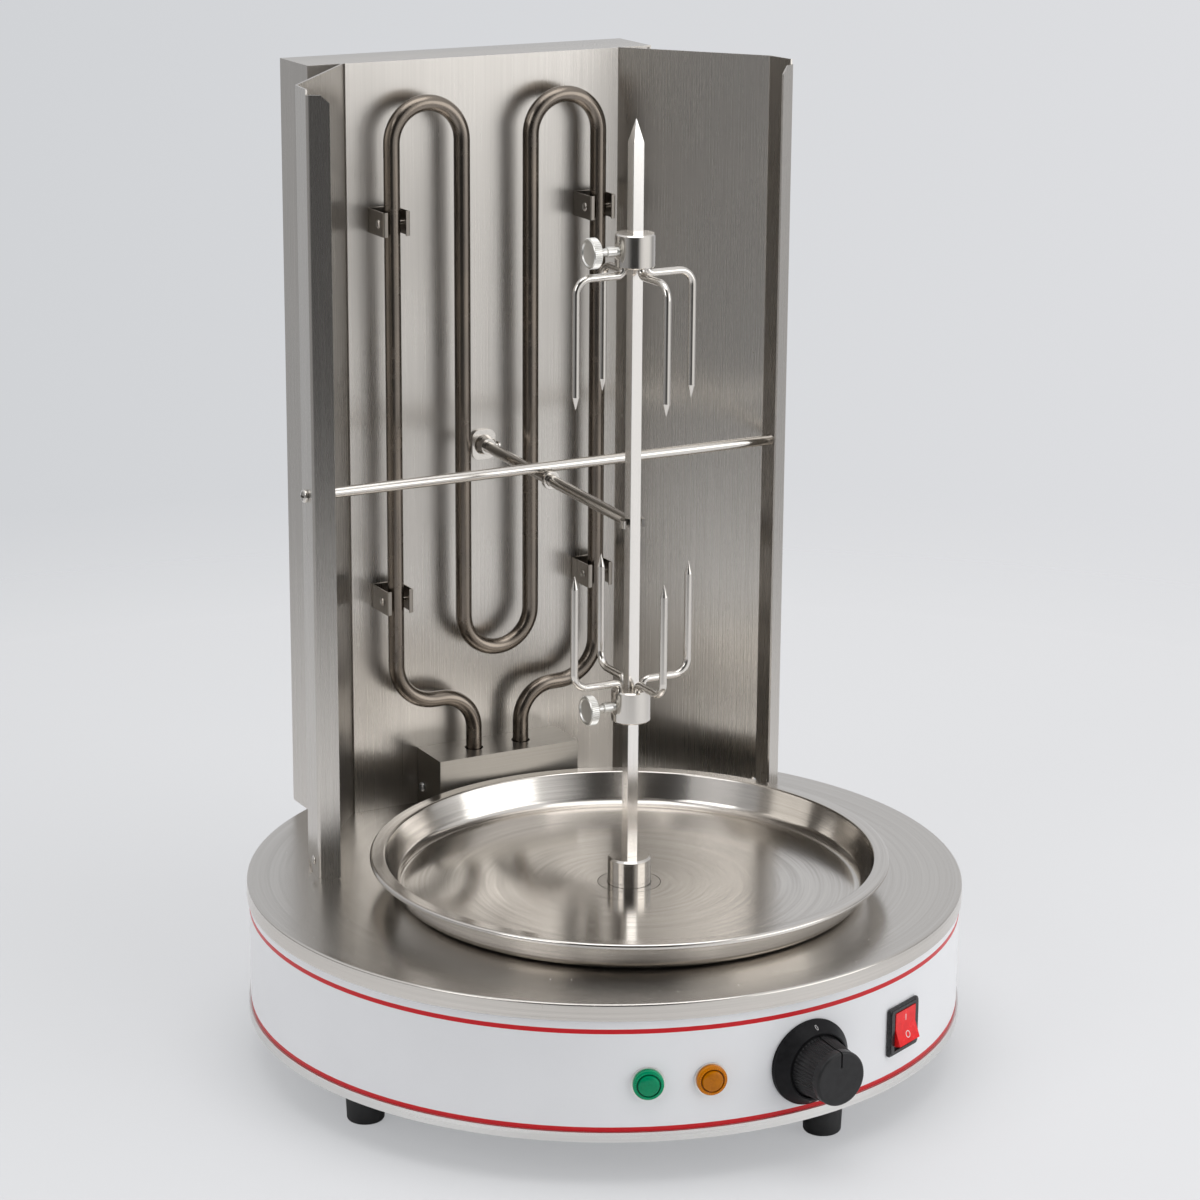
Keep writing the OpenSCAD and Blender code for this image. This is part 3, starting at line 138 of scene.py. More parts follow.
class Graph:
    """Adds and joins the nodes of one node tree."""

    def __init__(self, tree: NodeTree) -> None:
        """Starts on an empty tree."""
        self.tree = tree
        tree.nodes.clear()

    def feed(self, node: Node, inputs: dict) -> None:
        """Links or sets a node's inputs.

        Args:
            node: The node.
            inputs: Sockets or values by input name or number.
        """
        for key, value in inputs.items():
            if isinstance(value, Socket):
                self.tree.links.new(value, node.inputs[key])
            else:
                node.inputs[key].default_value = value

    def add(self, kind: str, inputs: dict | None = None, **settings: object) -> Node:
        """Adds a node.

        Args:
            kind: The node's type name.
            inputs: Sockets or values by input name or number.
            **settings: Properties of the node itself.

        Returns:
            The new node.
        """
        node = self.tree.nodes.new(kind)
        for name, value in settings.items():
            setattr(node, name, value)
        self.feed(node, inputs or {})
        return node

    def math(self, operation: str, a: object, b: object = 0.0) -> Socket:
        """Adds a Math node and returns its output."""
        return self.add("ShaderNodeMath", {0: a, 1: b}, operation=operation).outputs[0]

    def vector(self, operation: str, a: object, b: object = (0.0, 0.0, 0.0)) -> Socket:
        """Adds a Vector Math node and returns its output, a value or a vector."""
        node = self.add("ShaderNodeVectorMath", {0: a, 1: b}, operation=operation)
        return node.outputs["Value" if operation in ("LENGTH", "DOT_PRODUCT") else "Vector"]

    def noise(self, vector: object, scale: float = 1.0, detail: float = 3.0) -> Socket:
        """Adds a Noise Texture and returns its value."""
        inputs = {"Vector": vector, "Scale": scale, "Detail": detail}
        return self.add("ShaderNodeTexNoise", inputs).outputs[0]

    def ramp(self, value: object, low: float, high: float, first: float = 0.0,
             last: float = 1.0) -> Socket:
        """Adds a clamped Map Range node and returns its output."""
        return self.add("ShaderNodeMapRange", {
            "Value": value, "From Min": low, "From Max": high, "To Min": first, "To Max": last,
        }).outputs[0]

    def blend(self, mask: object, a: object, b: object) -> Socket:
        """Adds a colour Mix node.

        Args:
            mask: Share of the second colour.
            a: The first colour, as a socket or as red, green and blue.
            b: The second colour.

        Returns:
            The mixed colour.
        """
        first, last = (end if isinstance(end, Socket) else (*end, 1.0) for end in (a, b))
        inputs = {"Factor": mask, 6: first, 7: last}
        return self.add("ShaderNodeMix", inputs, data_type="RGBA").outputs[2]

    def sum(self, total: Socket, *more: tuple[Socket, float]) -> Socket:
        """Adds weighted values to a first one.

        Args:
            total: The first value.
            *more: Values and their weights.

        Returns:
            The sum.
        """
        for value, weight in more:
            total = self.math("ADD", total, self.math("MULTIPLY", value, weight))
        return total


class Group(Graph):
    """Node group with named inputs, built once."""

    def __init__(self, kind: str, name: str, **inputs: tuple[str, object]) -> None:
        """Makes the group and its inputs.

        Args:
            kind: Kind of its tree, Shader or Geometry.
            name: Its name.
            **inputs: Kind of socket and default by input name.
        """
        super().__init__(bpy.data.node_groups.new(name, kind + "NodeTree"))
        self.names = {}
        for label, (socket_kind, default) in inputs.items():
            socket = self.socket(label, socket_kind, "INPUT")
            if default is not None:
                socket.default_value = default
            self.names[label] = socket.identifier
        self.given = self.add("NodeGroupInput").outputs

    def socket(self, label: str, kind: str, way: str) -> bpy.types.NodeTreeInterfaceSocket:
        """Makes a socket of the group; its way is INPUT or OUTPUT."""
        return self.tree.interface.new_socket(label, in_out=way, socket_type="NodeSocket" + kind)


class Effect(Group):
    """Shader effect that several finishes share."""

    def __init__(self, name: str, **inputs: tuple[str, object]) -> None:
        """Makes the group, with the place on the piece as its first input."""
        super().__init__("Shader", name, Vector=("Vector", (0, 0, 0)), **inputs)

    def close(self, **results: Socket) -> NodeTree:
        """Ends the group.

        Args:
            **results: Value by output name.

        Returns:
            The group's tree.
        """
        for label in results:
            self.socket(label, "Float", "OUTPUT")
        self.add("NodeGroupOutput", results)
        return self.tree


def straight_grain() -> NodeTree:
    """Makes the effect of fine brush lines that run along one axis.

    Returns:
        Its tree.
    """
    g = Effect("straight_grain", Fine=("Vector", (1, 1, 1)), Broad=("Vector", (1, 1, 1)))
    fine, broad = (g.noise(g.vector("MULTIPLY", g.given["Vector"], g.given[size]))
                   for size in ("Fine", "Broad"))
    streak = g.sum(g.math("MULTIPLY", fine, 0.6), (broad, 0.4))
    return g.close(Streak=g.ramp(streak, 0.3, 0.7), Depth=fine)


def turned_grain() -> NodeTree:
    """Makes the effect of brush lines that run in circles about an upright axis.

    Returns:
        Its tree.
    """
    g = Effect("turned_grain", Centre=("Vector", (0, 0, 0)))
    place = g.given["Vector"]
    flat = g.vector("MULTIPLY", g.vector("SUBTRACT", place, g.given["Centre"]), (1, 1, 0))
    radius = g.vector("LENGTH", flat)
    turn = g.add("ShaderNodeSeparateXYZ", {0: g.vector("NORMALIZE", flat)}).outputs
    height = g.add("ShaderNodeSeparateXYZ", {0: place}).outputs[2]

    def lines(cells: float, spread: float) -> Socket:
        """Noise drawn out into circles.

        Args:
            cells: Lines per metre.
            spread: How fast the lines change round the axis.

        Returns:
            The noise's value.
        """
        spot = g.add("ShaderNodeCombineXYZ", {
            0: g.math("MULTIPLY", radius, cells), 1: g.math("MULTIPLY", height, cells),
            2: g.math("MULTIPLY", turn[0], spread)}).outputs[0]
        return g.add("ShaderNodeTexNoise", {
            "Vector": spot, "W": g.math("MULTIPLY", turn[1], spread), "Scale": 1.0, "Detail": 3.0,
        }, noise_dimensions="4D").outputs[0]

    fine, broad = lines(3200.0, 2.2), lines(620.0, 0.9)
    streak = g.sum(g.math("MULTIPLY", fine, 0.4), (broad, 0.6))
    return g.close(Streak=g.ramp(streak, 0.35, 0.65), Depth=streak)


def handling() -> NodeTree:
    """Makes the effect of wiping and touching: a soft haze and sparse fine scratches.

    Returns:
        Its tree.
    """
    g = Effect("handling")
    place = g.given["Vector"]
    bent = g.vector("MULTIPLY", place, (700, 520, 90))
    scratch = g.ramp(g.noise(bent, 1.0, 1.0), 0.74, 0.78)
    spots = g.ramp(g.noise(place, 55.0, 2.0), 0.5, 0.65)
    return g.close(Haze=g.ramp(g.noise(place, 9.0, 5.0), 0.42, 0.72),
                   Scratch=g.math("MULTIPLY", scratch, spots))


def stipple() -> NodeTree:
    """Makes the fine pitted skin of moulded plastic and rubber.

    Returns:
        Its tree.
    """
    g = Effect("stipple", Scale=("Float", 2200.0))
    place = g.given["Vector"]
    cells = g.add("ShaderNodeTexVoronoi", {"Vector": place, "Scale": g.given["Scale"]},
                  feature="SMOOTH_F1")
    return g.close(Depth=cells.outputs[0], Cloud=g.ramp(g.noise(place, 240.0, 4.0), 0.35, 0.65))


def edge_wear() -> NodeTree:
    """Makes the effect of rubbed edges: a mask where the surface is sharply convex.

    Returns:
        Its tree.
    """
    g = Effect("edge_wear")
    sharp = g.ramp(g.add("ShaderNodeNewGeometry").outputs["Pointiness"], 0.53, 0.62)
    broken = g.ramp(g.noise(g.given["Vector"], 160.0, 4.0), 0.35, 0.6)
    return g.close(Wear=g.math("MULTIPLY", sharp, broken))


STRAIGHT_GRAIN, TURNED_GRAIN, HANDLING = straight_grain(), turned_grain(), handling()
STIPPLE, EDGE_WEAR = stipple(), edge_wear()


class Surface(Graph):
    """Graph of a material, with its Principled shader and the place on the piece."""

    def __init__(self, tree: NodeTree) -> None:
        """Adds the shader, the place and the output.

        Args:
            tree: The material's tree.
        """
        super().__init__(tree)
        self.shader = self.add("ShaderNodeBsdfPrincipled")
        self.place = self.add("ShaderNodeTexCoord").outputs["Object"]
        self.add("ShaderNodeOutputMaterial", {"Surface": self.shader.outputs[0]})

    def use(self, effect: NodeTree, **inputs: object) -> dict[str, Socket]:
        """Places a shared effect and returns its outputs by name."""
        node = self.add("ShaderNodeGroup", {"Vector": self.place, **inputs}, node_tree=effect)
        return {output.name: output for output in node.outputs}

    def shade(self, inputs: dict, height: Socket, strength: float, depth: float) -> None:
        """Feeds the shader.

        Args:
            inputs: Sockets or values by the shader's input name.
            height: Height of the surface's relief.
            strength: Strength of the relief.
            depth: Depth of the relief in metres.
        """
        bump = self.add("ShaderNodeBump", {
            "Height": height, "Strength": strength, "Distance": depth})
        self.feed(self.shader, {"Normal": bump.outputs[0], **inputs})


# Finishes


class Finish:
    """Base of the finishes: makes its material once, named after itself."""

    name: str

    def material(self) -> bpy.types.Material:
        """Gives the finish's material.

        Returns:
            The material, made on first use.
        """
        if self.name not in bpy.data.materials:
            made = bpy.data.materials.new(self.name)
            made.use_nodes = True
            self.fill(Surface(made.node_tree))
        return bpy.data.materials[self.name]

    def fill(self, s: Surface) -> None:
        """Adds the finish's own nodes; each finish has its own."""
        raise NotImplementedError


# Cells per metre across and along straight grain
GRAIN_CELLS = {"Fine": (4600, 14), "Broad": (1100, 4)}
# Keeps the tangent from vanishing where a surface faces along its grain
NUDGE = (0.0005, 0.0005, 0.0)


@dataclass(frozen=True)
class Steel(Finish):
    """Bare steel, brushed or polished."""

    name: str
    colour: Triple = (0.60, 0.573, 0.538)
    roughness: float = 0.26
    grain: Grain = Grain.UPRIGHT
    centre: Triple = (0.0, 0.0, 0.0)
    inset: Triple | None = None
    inset_r: float = 0.019
    stretch: float = 0.65
    relief: float = 0.022
    contrast: float = 0.06

    def fill(self, s: Surface) -> None:
        """Adds grain, handling marks, and highlights drawn out across the grain.

        Args:
            s: Graph of the material.
        """
        if self.grain is Grain.TURNED:
            centre = self.centre
            if self.inset:
                near = s.vector("MULTIPLY", s.vector("SUBTRACT", s.place, self.inset), (1, 1, 0))
                inside = s.math("LESS_THAN", s.vector("LENGTH", near), self.inset_r)
                centre = s.blend(inside, centre, self.inset)
            lines = s.use(TURNED_GRAIN, Centre=centre)
            out = s.vector("SUBTRACT", s.place, centre)
            along = s.vector("NORMALIZE", s.vector("CROSS_PRODUCT", (0, 0, 1), out))
        else:
            axis = 0 if self.grain is Grain.LEVEL else 2
            lines = s.use(STRAIGHT_GRAIN, **{
                size: [run if i == axis else wide for i in range(3)]
                for size, (wide, run) in GRAIN_CELLS.items()})
            along = [float(i == axis) for i in range(3)]
        marks = s.use(HANDLING)
        dark, pale = ([min(1.0, c * (1 + way * self.contrast)) for c in self.colour]
                      for way in (-1, 1))
        rough = s.ramp(lines["Streak"], 0, 1, self.roughness + 0.04, self.roughness - 0.03)
        inputs = {"Base Color": s.blend(lines["Streak"], dark, pale), "Metallic": 1.0,
                  "Roughness": s.sum(rough, (marks["Haze"], 0.05), (marks["Scratch"], 0.1))}
        if self.grain is not Grain.NONE:
            facing = s.add("ShaderNodeNewGeometry").outputs["Normal"]
            across = s.vector("ADD", s.vector("CROSS_PRODUCT", facing, along), NUDGE)
            inputs |= {"Anisotropic": self.stretch, "Tangent": across}
        s.shade(inputs, lines["Depth"], self.relief, 0.0002)


@dataclass(frozen=True)
class Enamel(Finish):
    """Powder coat in white, with two thin red lines round the band."""

    name: str = "white_enamel_lined"
    colour: Triple = (0.84, 0.85, 0.87)
    line_colour: Triple = (0.60, 0.0, 0.006)
    line_heights: Point = (-16.5, -74.9)
    line_width: float = 2.8
    line_blur: float = 0.08

    def fill(self, s: Surface) -> None:
        """Adds the lines by height, a faint orange peel and soft soiling.

        Args:
            s: Graph of the material.
        """
        height = s.add("ShaderNodeSeparateXYZ", {0: s.place}).outputs[2]
        full, gone = ((self.line_width / 2 + way * self.line_blur) * MM for way in (-1, 1))
        aways = (s.math("ABSOLUTE", s.math("SUBTRACT", height, (DECK.z + line) * MM))
                 for line in self.line_heights)
        mask = s.math("MAXIMUM", *(s.ramp(away, full, gone, 1, 0) for away in aways))
        haze = s.use(HANDLING)["Haze"]
        paint = s.blend(haze, self.colour, [c * 0.96 for c in self.colour])
        s.shade({
            "Base Color": s.blend(mask, paint, self.line_colour),
            "Roughness": s.ramp(haze, 0, 1, 0.30, 0.38), "Specular IOR Level": 0.3,
            "Coat Weight": 0.1, "Coat Roughness": 0.12,
        }, s.sum(s.noise(s.place, 260.0, 2.0), (mask, 0.6)), 0.06, 0.0004)


@dataclass(frozen=True)
class Plastic(Finish):
    """Moulded plastic or rubber with a pitted skin and rubbed edges."""

    name: str
    colour: Triple
    roughness: float = 0.42
    pits: float = 0.12
    pit_scale: float = 2400.0
    wear: float = 0.25
    coat: float = 0.0
    shine: float = 0.4

    def fill(self, s: Surface) -> None:
        """Adds the skin, its clouding and the paler edges.

        Args:
            s: Graph of the material.
        """
        skin = s.use(STIPPLE, Scale=self.pit_scale)
        pale = [min(1.0, c * 1.18 + 0.004) for c in self.colour]
        rubbed = [c * (1 - self.wear) + self.wear * 0.5 for c in self.colour]
        worn = s.math("MULTIPLY", s.use(EDGE_WEAR)["Wear"], self.wear)
        s.shade({
            "Base Color": s.blend(worn, s.blend(skin["Cloud"], self.colour, pale), rubbed),
            "Roughness": s.ramp(skin["Cloud"], 0, 1, self.roughness - 0.04, self.roughness + 0.06),
            "Specular IOR Level": self.shine, "Coat Weight": self.coat, "Coat Roughness": 0.1,
        }, skin["Depth"], self.pits, 0.00015)


@dataclass(frozen=True)
class Lens(Finish):
    """Tinted clear plastic of an indicator lamp, with fine facets moulded inside."""

    name: str
    colour: Triple
    # Deeper tint mixed into the facets, and the colour of the painted shade in the hollows
    deep_tint_and_shade: Triple

    def fill(self, s: Surface) -> None:
        """Adds small facets below a glossy skin, painted shade in the hollows and a painted
        highlight on sharp convex edges.

        Args:
            s: Graph of the material.
        """
        cells = s.add("ShaderNodeTexVoronoi", {"Vector": s.place, "Scale": 700.0}).outputs[0]
        cloud = s.ramp(s.noise(s.place, 130.0, 2.0), 0.35, 0.65)
        bend = s.add("ShaderNodeNewGeometry").outputs["Pointiness"]
        between = [(a + b) / 2 for a, b in zip(self.colour, self.deep_tint_and_shade)]
        bright = [min(1.0, c * 1.5) for c in self.colour]
        base = s.blend(s.math("MULTIPLY", cells, cloud), self.colour, between)
        # Painted shade: where the surface is hollow, the colour turns to the deeper tint
        shaded_hollows = s.blend(s.ramp(bend, 0.42, 0.49, 1.0, 0.0), base, self.deep_tint_and_shade)
        s.shade({
            # Painted highlight: sharp convex edges are painted paler (bright)
            "Base Color": s.blend(s.ramp(bend, 0.53, 0.60), shaded_hollows, bright),
            "Roughness": s.ramp(cloud, 0, 1, 0.10, 0.15), "Specular IOR Level": 0.12,
            "Coat Weight": 0.2, "Coat Roughness": 0.03,
            "Subsurface Weight": 0.25, "Subsurface Radius": (0.002, 0.002, 0.002),
        }, cells, 0.03, 0.0003)


@dataclass(frozen=True)
class Scorched(Finish):
    """Heat resisting steel of the element: brown satin, drawn along its length, with heat tints."""

    name: str = "scorched_steel"
    colour: Triple = (0.185, 0.162, 0.14)
    tint: Triple = (0.25, 0.21, 0.172)
    roughness: float = 0.25

    def fill(self, s: Surface) -> None:
        """Adds drawing lines, cloudy heat tints and a dry bloom.

        Args:
            s: Graph of the material.
        """
        lines = s.use(STRAIGHT_GRAIN, Fine=(4000, 4000, 60), Broad=(900, 900, 14))
        cloud = s.ramp(s.noise(s.place, 26.0, 4.0), 0.35, 0.7)
        bloom = s.ramp(s.noise(s.place, 120.0, 5.0), 0.55, 0.75)
        base = s.blend(cloud, self.colour, self.tint)
        share = s.math("MULTIPLY", lines["Streak"], 0.35)
        rough = s.ramp(bloom, 0, 1, self.roughness, self.roughness + 0.12)
        s.shade({"Base Color": s.blend(share, base, [c * 1.35 for c in self.colour]),
                 "Roughness": s.sum(rough, (lines["Streak"], -0.05)), "Metallic": 1.0},
                lines["Depth"], 0.07, 0.0002)


ON_DECK, ON_SPINDLE = metres(DECK), metres(SPINDLE)
SHEET = Steel("sheet_steel_brushed", centre=ON_DECK)
LEVEL_SHEET = Steel("sheet_steel_level", (0.34, 0.32, 0.29), 0.3, Grain.LEVEL, stretch=0.5)
PLATE = Steel("plate_steel_turned", grain=Grain.TURNED, centre=ON_DECK, inset=ON_SPINDLE,
              roughness=0.2, stretch=0.62)
RIM = Steel("rim_steel_turned", (0.70, 0.695, 0.68), 0.27, Grain.TURNED, ON_DECK)
CLIP = Steel("clip_steel_tinted", (0.34, 0.31, 0.275), 0.27)
PAN_STEEL = Steel("pan_steel_turned", (0.64, 0.61, 0.573), 0.16, Grain.TURNED, ON_SPINDLE,
                  stretch=0.65, relief=0.05, contrast=0.12)
POLISHED = Steel("polished_steel", (0.67, 0.64, 0.60), 0.13, Grain.NONE, relief=0.02, contrast=0.04)
SPIT_STEEL = Steel("spit_steel_polished", (0.80, 0.775, 0.745), 0.15, Grain.NONE, relief=0.02,
                   contrast=0.04)
TURNED = Steel("turned_steel", (0.63, 0.60, 0.56), 0.16, Grain.TURNED, ON_SPINDLE, stretch=0.5)
NICKEL = Steel("satin_nickel", (0.74, 0.73, 0.70), 0.30, Grain.NONE, relief=0.03, contrast=0.05)
ZINC = Steel("zinc_plate", (0.60, 0.61, 0.63), 0.34, Grain.NONE, relief=0.06, contrast=0.08)
BRONZE = Steel("bearing_bronze_turned", (0.62, 0.43, 0.20), 0.3, Grain.TURNED, ON_SPINDLE,
               stretch=0.4)
SCORCHED = Scorched()
ENAMEL = Enamel()
BLACK = Plastic("black_moulding", (0.013, 0.013, 0.014), 0.36, wear=0.18, shine=0.3)
DIAL = Plastic("dial_moulding", (0.006, 0.006, 0.007), 0.46, 0.08, wear=0.12, shine=0.12)
BLACK_GLOSS = Plastic("black_gloss_moulding", (0.014, 0.014, 0.016), 0.26, 0.05, wear=0.15)
RUBBER = Plastic("foot_rubber_black", (0.020, 0.020, 0.021), 0.55, 0.25, 1500.0, 0.1)
GREY = Plastic("grey_moulding", (0.55, 0.56, 0.57), 0.38, 0.08)
RED = Plastic("red_moulding", (0.78, 0.008, 0.010), 0.22, 0.03, wear=0.06, coat=0.15, shine=0.25)
CERAMIC = Plastic("glazed_ceramic", (0.80, 0.78, 0.72), 0.22, 0.1, 700.0, 0.05, 0.4)
MARKING = Plastic("white_marking", (0.80, 0.80, 0.80), 0.5, 0.05, wear=0.0)
PRINT = Plastic("grey_print", (0.42, 0.42, 0.42), 0.5, 0.05, wear=0.0)
# Each lens: its clear colour, then the deeper tint that also paints shade into its hollows
GREEN_LENS = Lens("green_lens_clear", (0.0, 0.28, 0.125), (0.0, 0.09, 0.038))
AMBER_LENS = Lens("amber_lens_clear", (0.52, 0.17, 0.0), (0.18, 0.042, 0.0))


# Mesh helpers, in millimetres

POLE_R = 1e-6


def lathe(profile: Sequence[Point], steps: int = 96, closed: bool = False,
          ripple: Callable[[float, int], float] | None = None) -> Mesh:
    """Turns a profile round Z.

    Args:
        profile: Radius and height of each point; a radius of 0 makes a pole.
        steps: Number of steps round the axis.
        closed: Joins the last point to the first, for a ring or bent sheet.
        ripple: Gives what to add to the radius for an angle and a point's number.

    Returns:
        The turned mesh.
    """
    mesh = bmesh.new()
    rings = []
    for number, (radius, height) in enumerate(profile):
        if radius < POLE_R:
            rings.append([mesh.verts.new((0, 0, height))] * steps)
            continue
        ring = []
        for step in range(steps):
            angle = 2 * math.pi * step / steps
            r = radius + (ripple(angle, number) if ripple else 0.0)
            ring.append(mesh.verts.new((r * math.cos(angle), r * math.sin(angle), height)))
        rings.append(ring)
    for lower, upper in zip(rings, rings[1:] + (rings[:1] if closed else [])):
        for step in range(steps):
            after = (step + 1) % steps
            corners = dict.fromkeys((lower[step], lower[after], upper[after], upper[step]))
            if len(corners) > 2:
                mesh.faces.new(list(corners))
    bmesh.ops.recalc_face_normals(mesh, faces=mesh.faces)
    return mesh


def slab(outline: Sequence[Point], low: float, high: float) -> Mesh:
    """Flat piece with an outline.

    Args:
        outline: Corner points in X and Y.
        low: Height of the lower face.
        high: Height of the upper face.

    Returns:
        The solid mesh.
    """
    mesh = bmesh.new()
    lower, upper = ([mesh.verts.new((x, y, z)) for x, y in outline] for z in (low, high))
    mesh.faces.new(lower[::-1])
    mesh.faces.new(upper)
    for i in range(len(outline)):
        j = (i + 1) % len(outline)
        mesh.faces.new((lower[i], lower[j], upper[j], upper[i]))
    bmesh.ops.recalc_face_normals(mesh, faces=mesh.faces)
    return mesh


def block(low: Triple, high: Triple) -> Mesh:
    """Box between two corners."""
    outline = [(low[0], low[1]), (high[0], low[1]), (high[0], high[1]), (low[0], high[1])]
    return slab(outline, low[2], high[2])


def arc(centre: Point, radius: float, start: float, end: float, steps: int = 16) -> list[Point]:
    """Points on an arc.

    Args:
        centre: Its centre.
        radius: Its radius.
        start: First angle in degrees.
        end: Last angle in degrees.
        steps: Number of steps.

    Returns:
        The points, both ends included.
    """
    angles = (math.radians(start + (end - start) * i / steps) for i in range(steps + 1))
    return [(centre[0] + radius * math.cos(a), centre[1] + radius * math.sin(a)) for a in angles]


def bent(points: Sequence[Point], radii: Sequence[float], steps: int = 10) -> list[Point]:
    """Line with its inner corners rounded.

    Args:
        points: Corner points of the line.
        radii: Radius of each inner corner.
        steps: Steps in each rounding.

    Returns:
        The rounded line's points.
    """
    line = [points[0]]
    for before, corner, after, radius in zip(points, points[1:], points[2:], radii):
        back, ahead = ((Vector(end) - Vector(corner)).normalized() for end in (before, after))
        half = back.angle(ahead) / 2
        centre = Vector(corner) + (back + ahead).normalized() * (radius / math.sin(half))
        first, last = (math.degrees(math.atan2(spoke.y, spoke.x)) for spoke in (
            Vector(corner) + way * (radius / math.tan(half)) - centre for way in (back, ahead)))
        swing = last - first
        swing -= 360 * round(swing / 360)
        line += arc(tuple(centre), radius, first, first + swing, steps)
    return line + [points[-1]]


# Distance in millimetres and angle in degrees under which a CAD copy's points and faces are merged
MERGE_GAP, MERGE_ANGLE = 0.002, 0.6


def cad_copy(node: str) -> Mesh:
    """Copy of a CAD node's mesh, with its loose triangles merged into whole faces.

    Args:
        node: Name of the node.

    Returns:
        The merged mesh.
    """
    mesh = bmesh.new()
    mesh.from_mesh(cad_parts[node].data)
    mesh.transform(Matrix.Scale(1 / MM, 4))
    bmesh.ops.remove_doubles(mesh, verts=mesh.verts, dist=MERGE_GAP)
    bmesh.ops.dissolve_limit(mesh, angle_limit=math.radians(MERGE_ANGLE), verts=mesh.verts,
                             edges=mesh.edges)
    return mesh


def linked(name: str, data: bpy.types.ID) -> Piece:
    """Object in the scene.

    Args:
        name: Its name.
        data: Its data.

    Returns:
        The object.
    """
    made = bpy.data.objects.new(name, data)
    bpy.context.scene.collection.objects.link(made)
    return made


def as_object(name: str, mesh: Mesh, scale: float = MM) -> Piece:
    """Object of a mesh, scaled to metres.

    Args:
        name: Name of the object.
        mesh: The mesh, which is freed.
        scale: Factor on its size.

    Returns:
        The linked object.
    """
    mesh.transform(Matrix.Scale(scale, 4))
    data = bpy.data.meshes.new(name)
    mesh.to_mesh(data)
    mesh.free()
    return linked(name, data)


def bake(piece: Piece) -> None:
    """Turns a piece's modifiers into plain mesh and removes them.

    Args:
        piece: The piece, which is changed.
    """
    graph = bpy.context.evaluated_depsgraph_get()
    plain = bpy.data.meshes.new_from_object(piece.evaluated_get(graph))
    piece.modifiers.clear()
    piece.data = plain


def change(piece: Piece, kind: str, **settings: object) -> None:
    """Runs a modifier on a piece and bakes the result.

    Args:
        piece: The piece, which is changed.
        kind: Type of the modifier.
        **settings: Its settings.
    """
    modifier = piece.modifiers.new(kind.lower(), kind)
    for name, value in settings.items():
        setattr(modifier, name, value)
    bake(piece)


def cut(piece: Piece, cutter: Mesh) -> None:
    """Takes a cutting shape out of a piece.

    Args:
        piece: The piece, which is changed.
        cutter: The shape to remove; it is freed.
    """
    tool = as_object("cutter", cutter)
    change(piece, "BOOLEAN", operation="DIFFERENCE", object=tool, solver="EXACT")
    bpy.data.objects.remove(tool)


def settle(piece: Piece, finish: Finish, replaces: Sequence[str] = (),
           body: Body = Body.HOUSING, place: Matrix | None = None, smooth: float = 32.0) -> None:
    """Gives a piece its place, finish, shading and body.

    Args:
        piece: The finished shape.
        finish: Its finish.
        replaces: CAD nodes that it stands for.
        body: The body that it rides on.
        place: Frame to move its mesh to, in millimetres.
        smooth: Angle in degrees under which neighbouring faces shade as one.
    """
    if place is not None:
        shift = place.copy()
        shift.translation = place.translation * MM
        piece.data.transform(shift)
    data = piece.data
    data.materials.clear()
    data.materials.append(finish.material())
    data.polygons.foreach_set("use_smooth", [True] * len(data.polygons))
    data.set_sharp_from_angle(angle=math.radians(smooth))
    change(piece, "WEIGHTED_NORMAL", keep_sharp=True)
    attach(piece, body.value)
    if replaces:
        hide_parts(*replaces)
    LOG.info("%s: %d faces, %s, on %s", piece.name, len(piece.data.polygons), finish.name,
             body.value)


def dress(finish: Finish, *nodes: str) -> None:
    """Gives CAD nodes that stay as they are a finer finish.

    Args:
        finish: The finish.
        *nodes: Names of the nodes.
    """
    for node in nodes:
        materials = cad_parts[node].data.materials
        materials.clear()
        materials.append(finish.material())
        LOG.info("%s: CAD shape, %s", node, finish.name)


def refined(node: str, finish: Finish, width: float = 0.3, steps: int = 2,
            body: Body = Body.HOUSING) -> None:
    """Stands a copy with rounded edges in for a CAD node.

    Args:
        node: Name of the node.
        finish: The copy's finish.
        width: Width of the rounding.
        steps: Faces across the rounding.
        body: The body that it rides on.
    """
    piece = as_object(node + "_fine", cad_copy(node))
    change(piece, "BEVEL", width=width * MM, segments=steps, limit_method="ANGLE",
           angle_limit=math.radians(35.0))
    settle(piece, finish, [node], body)


# Geometry node trees


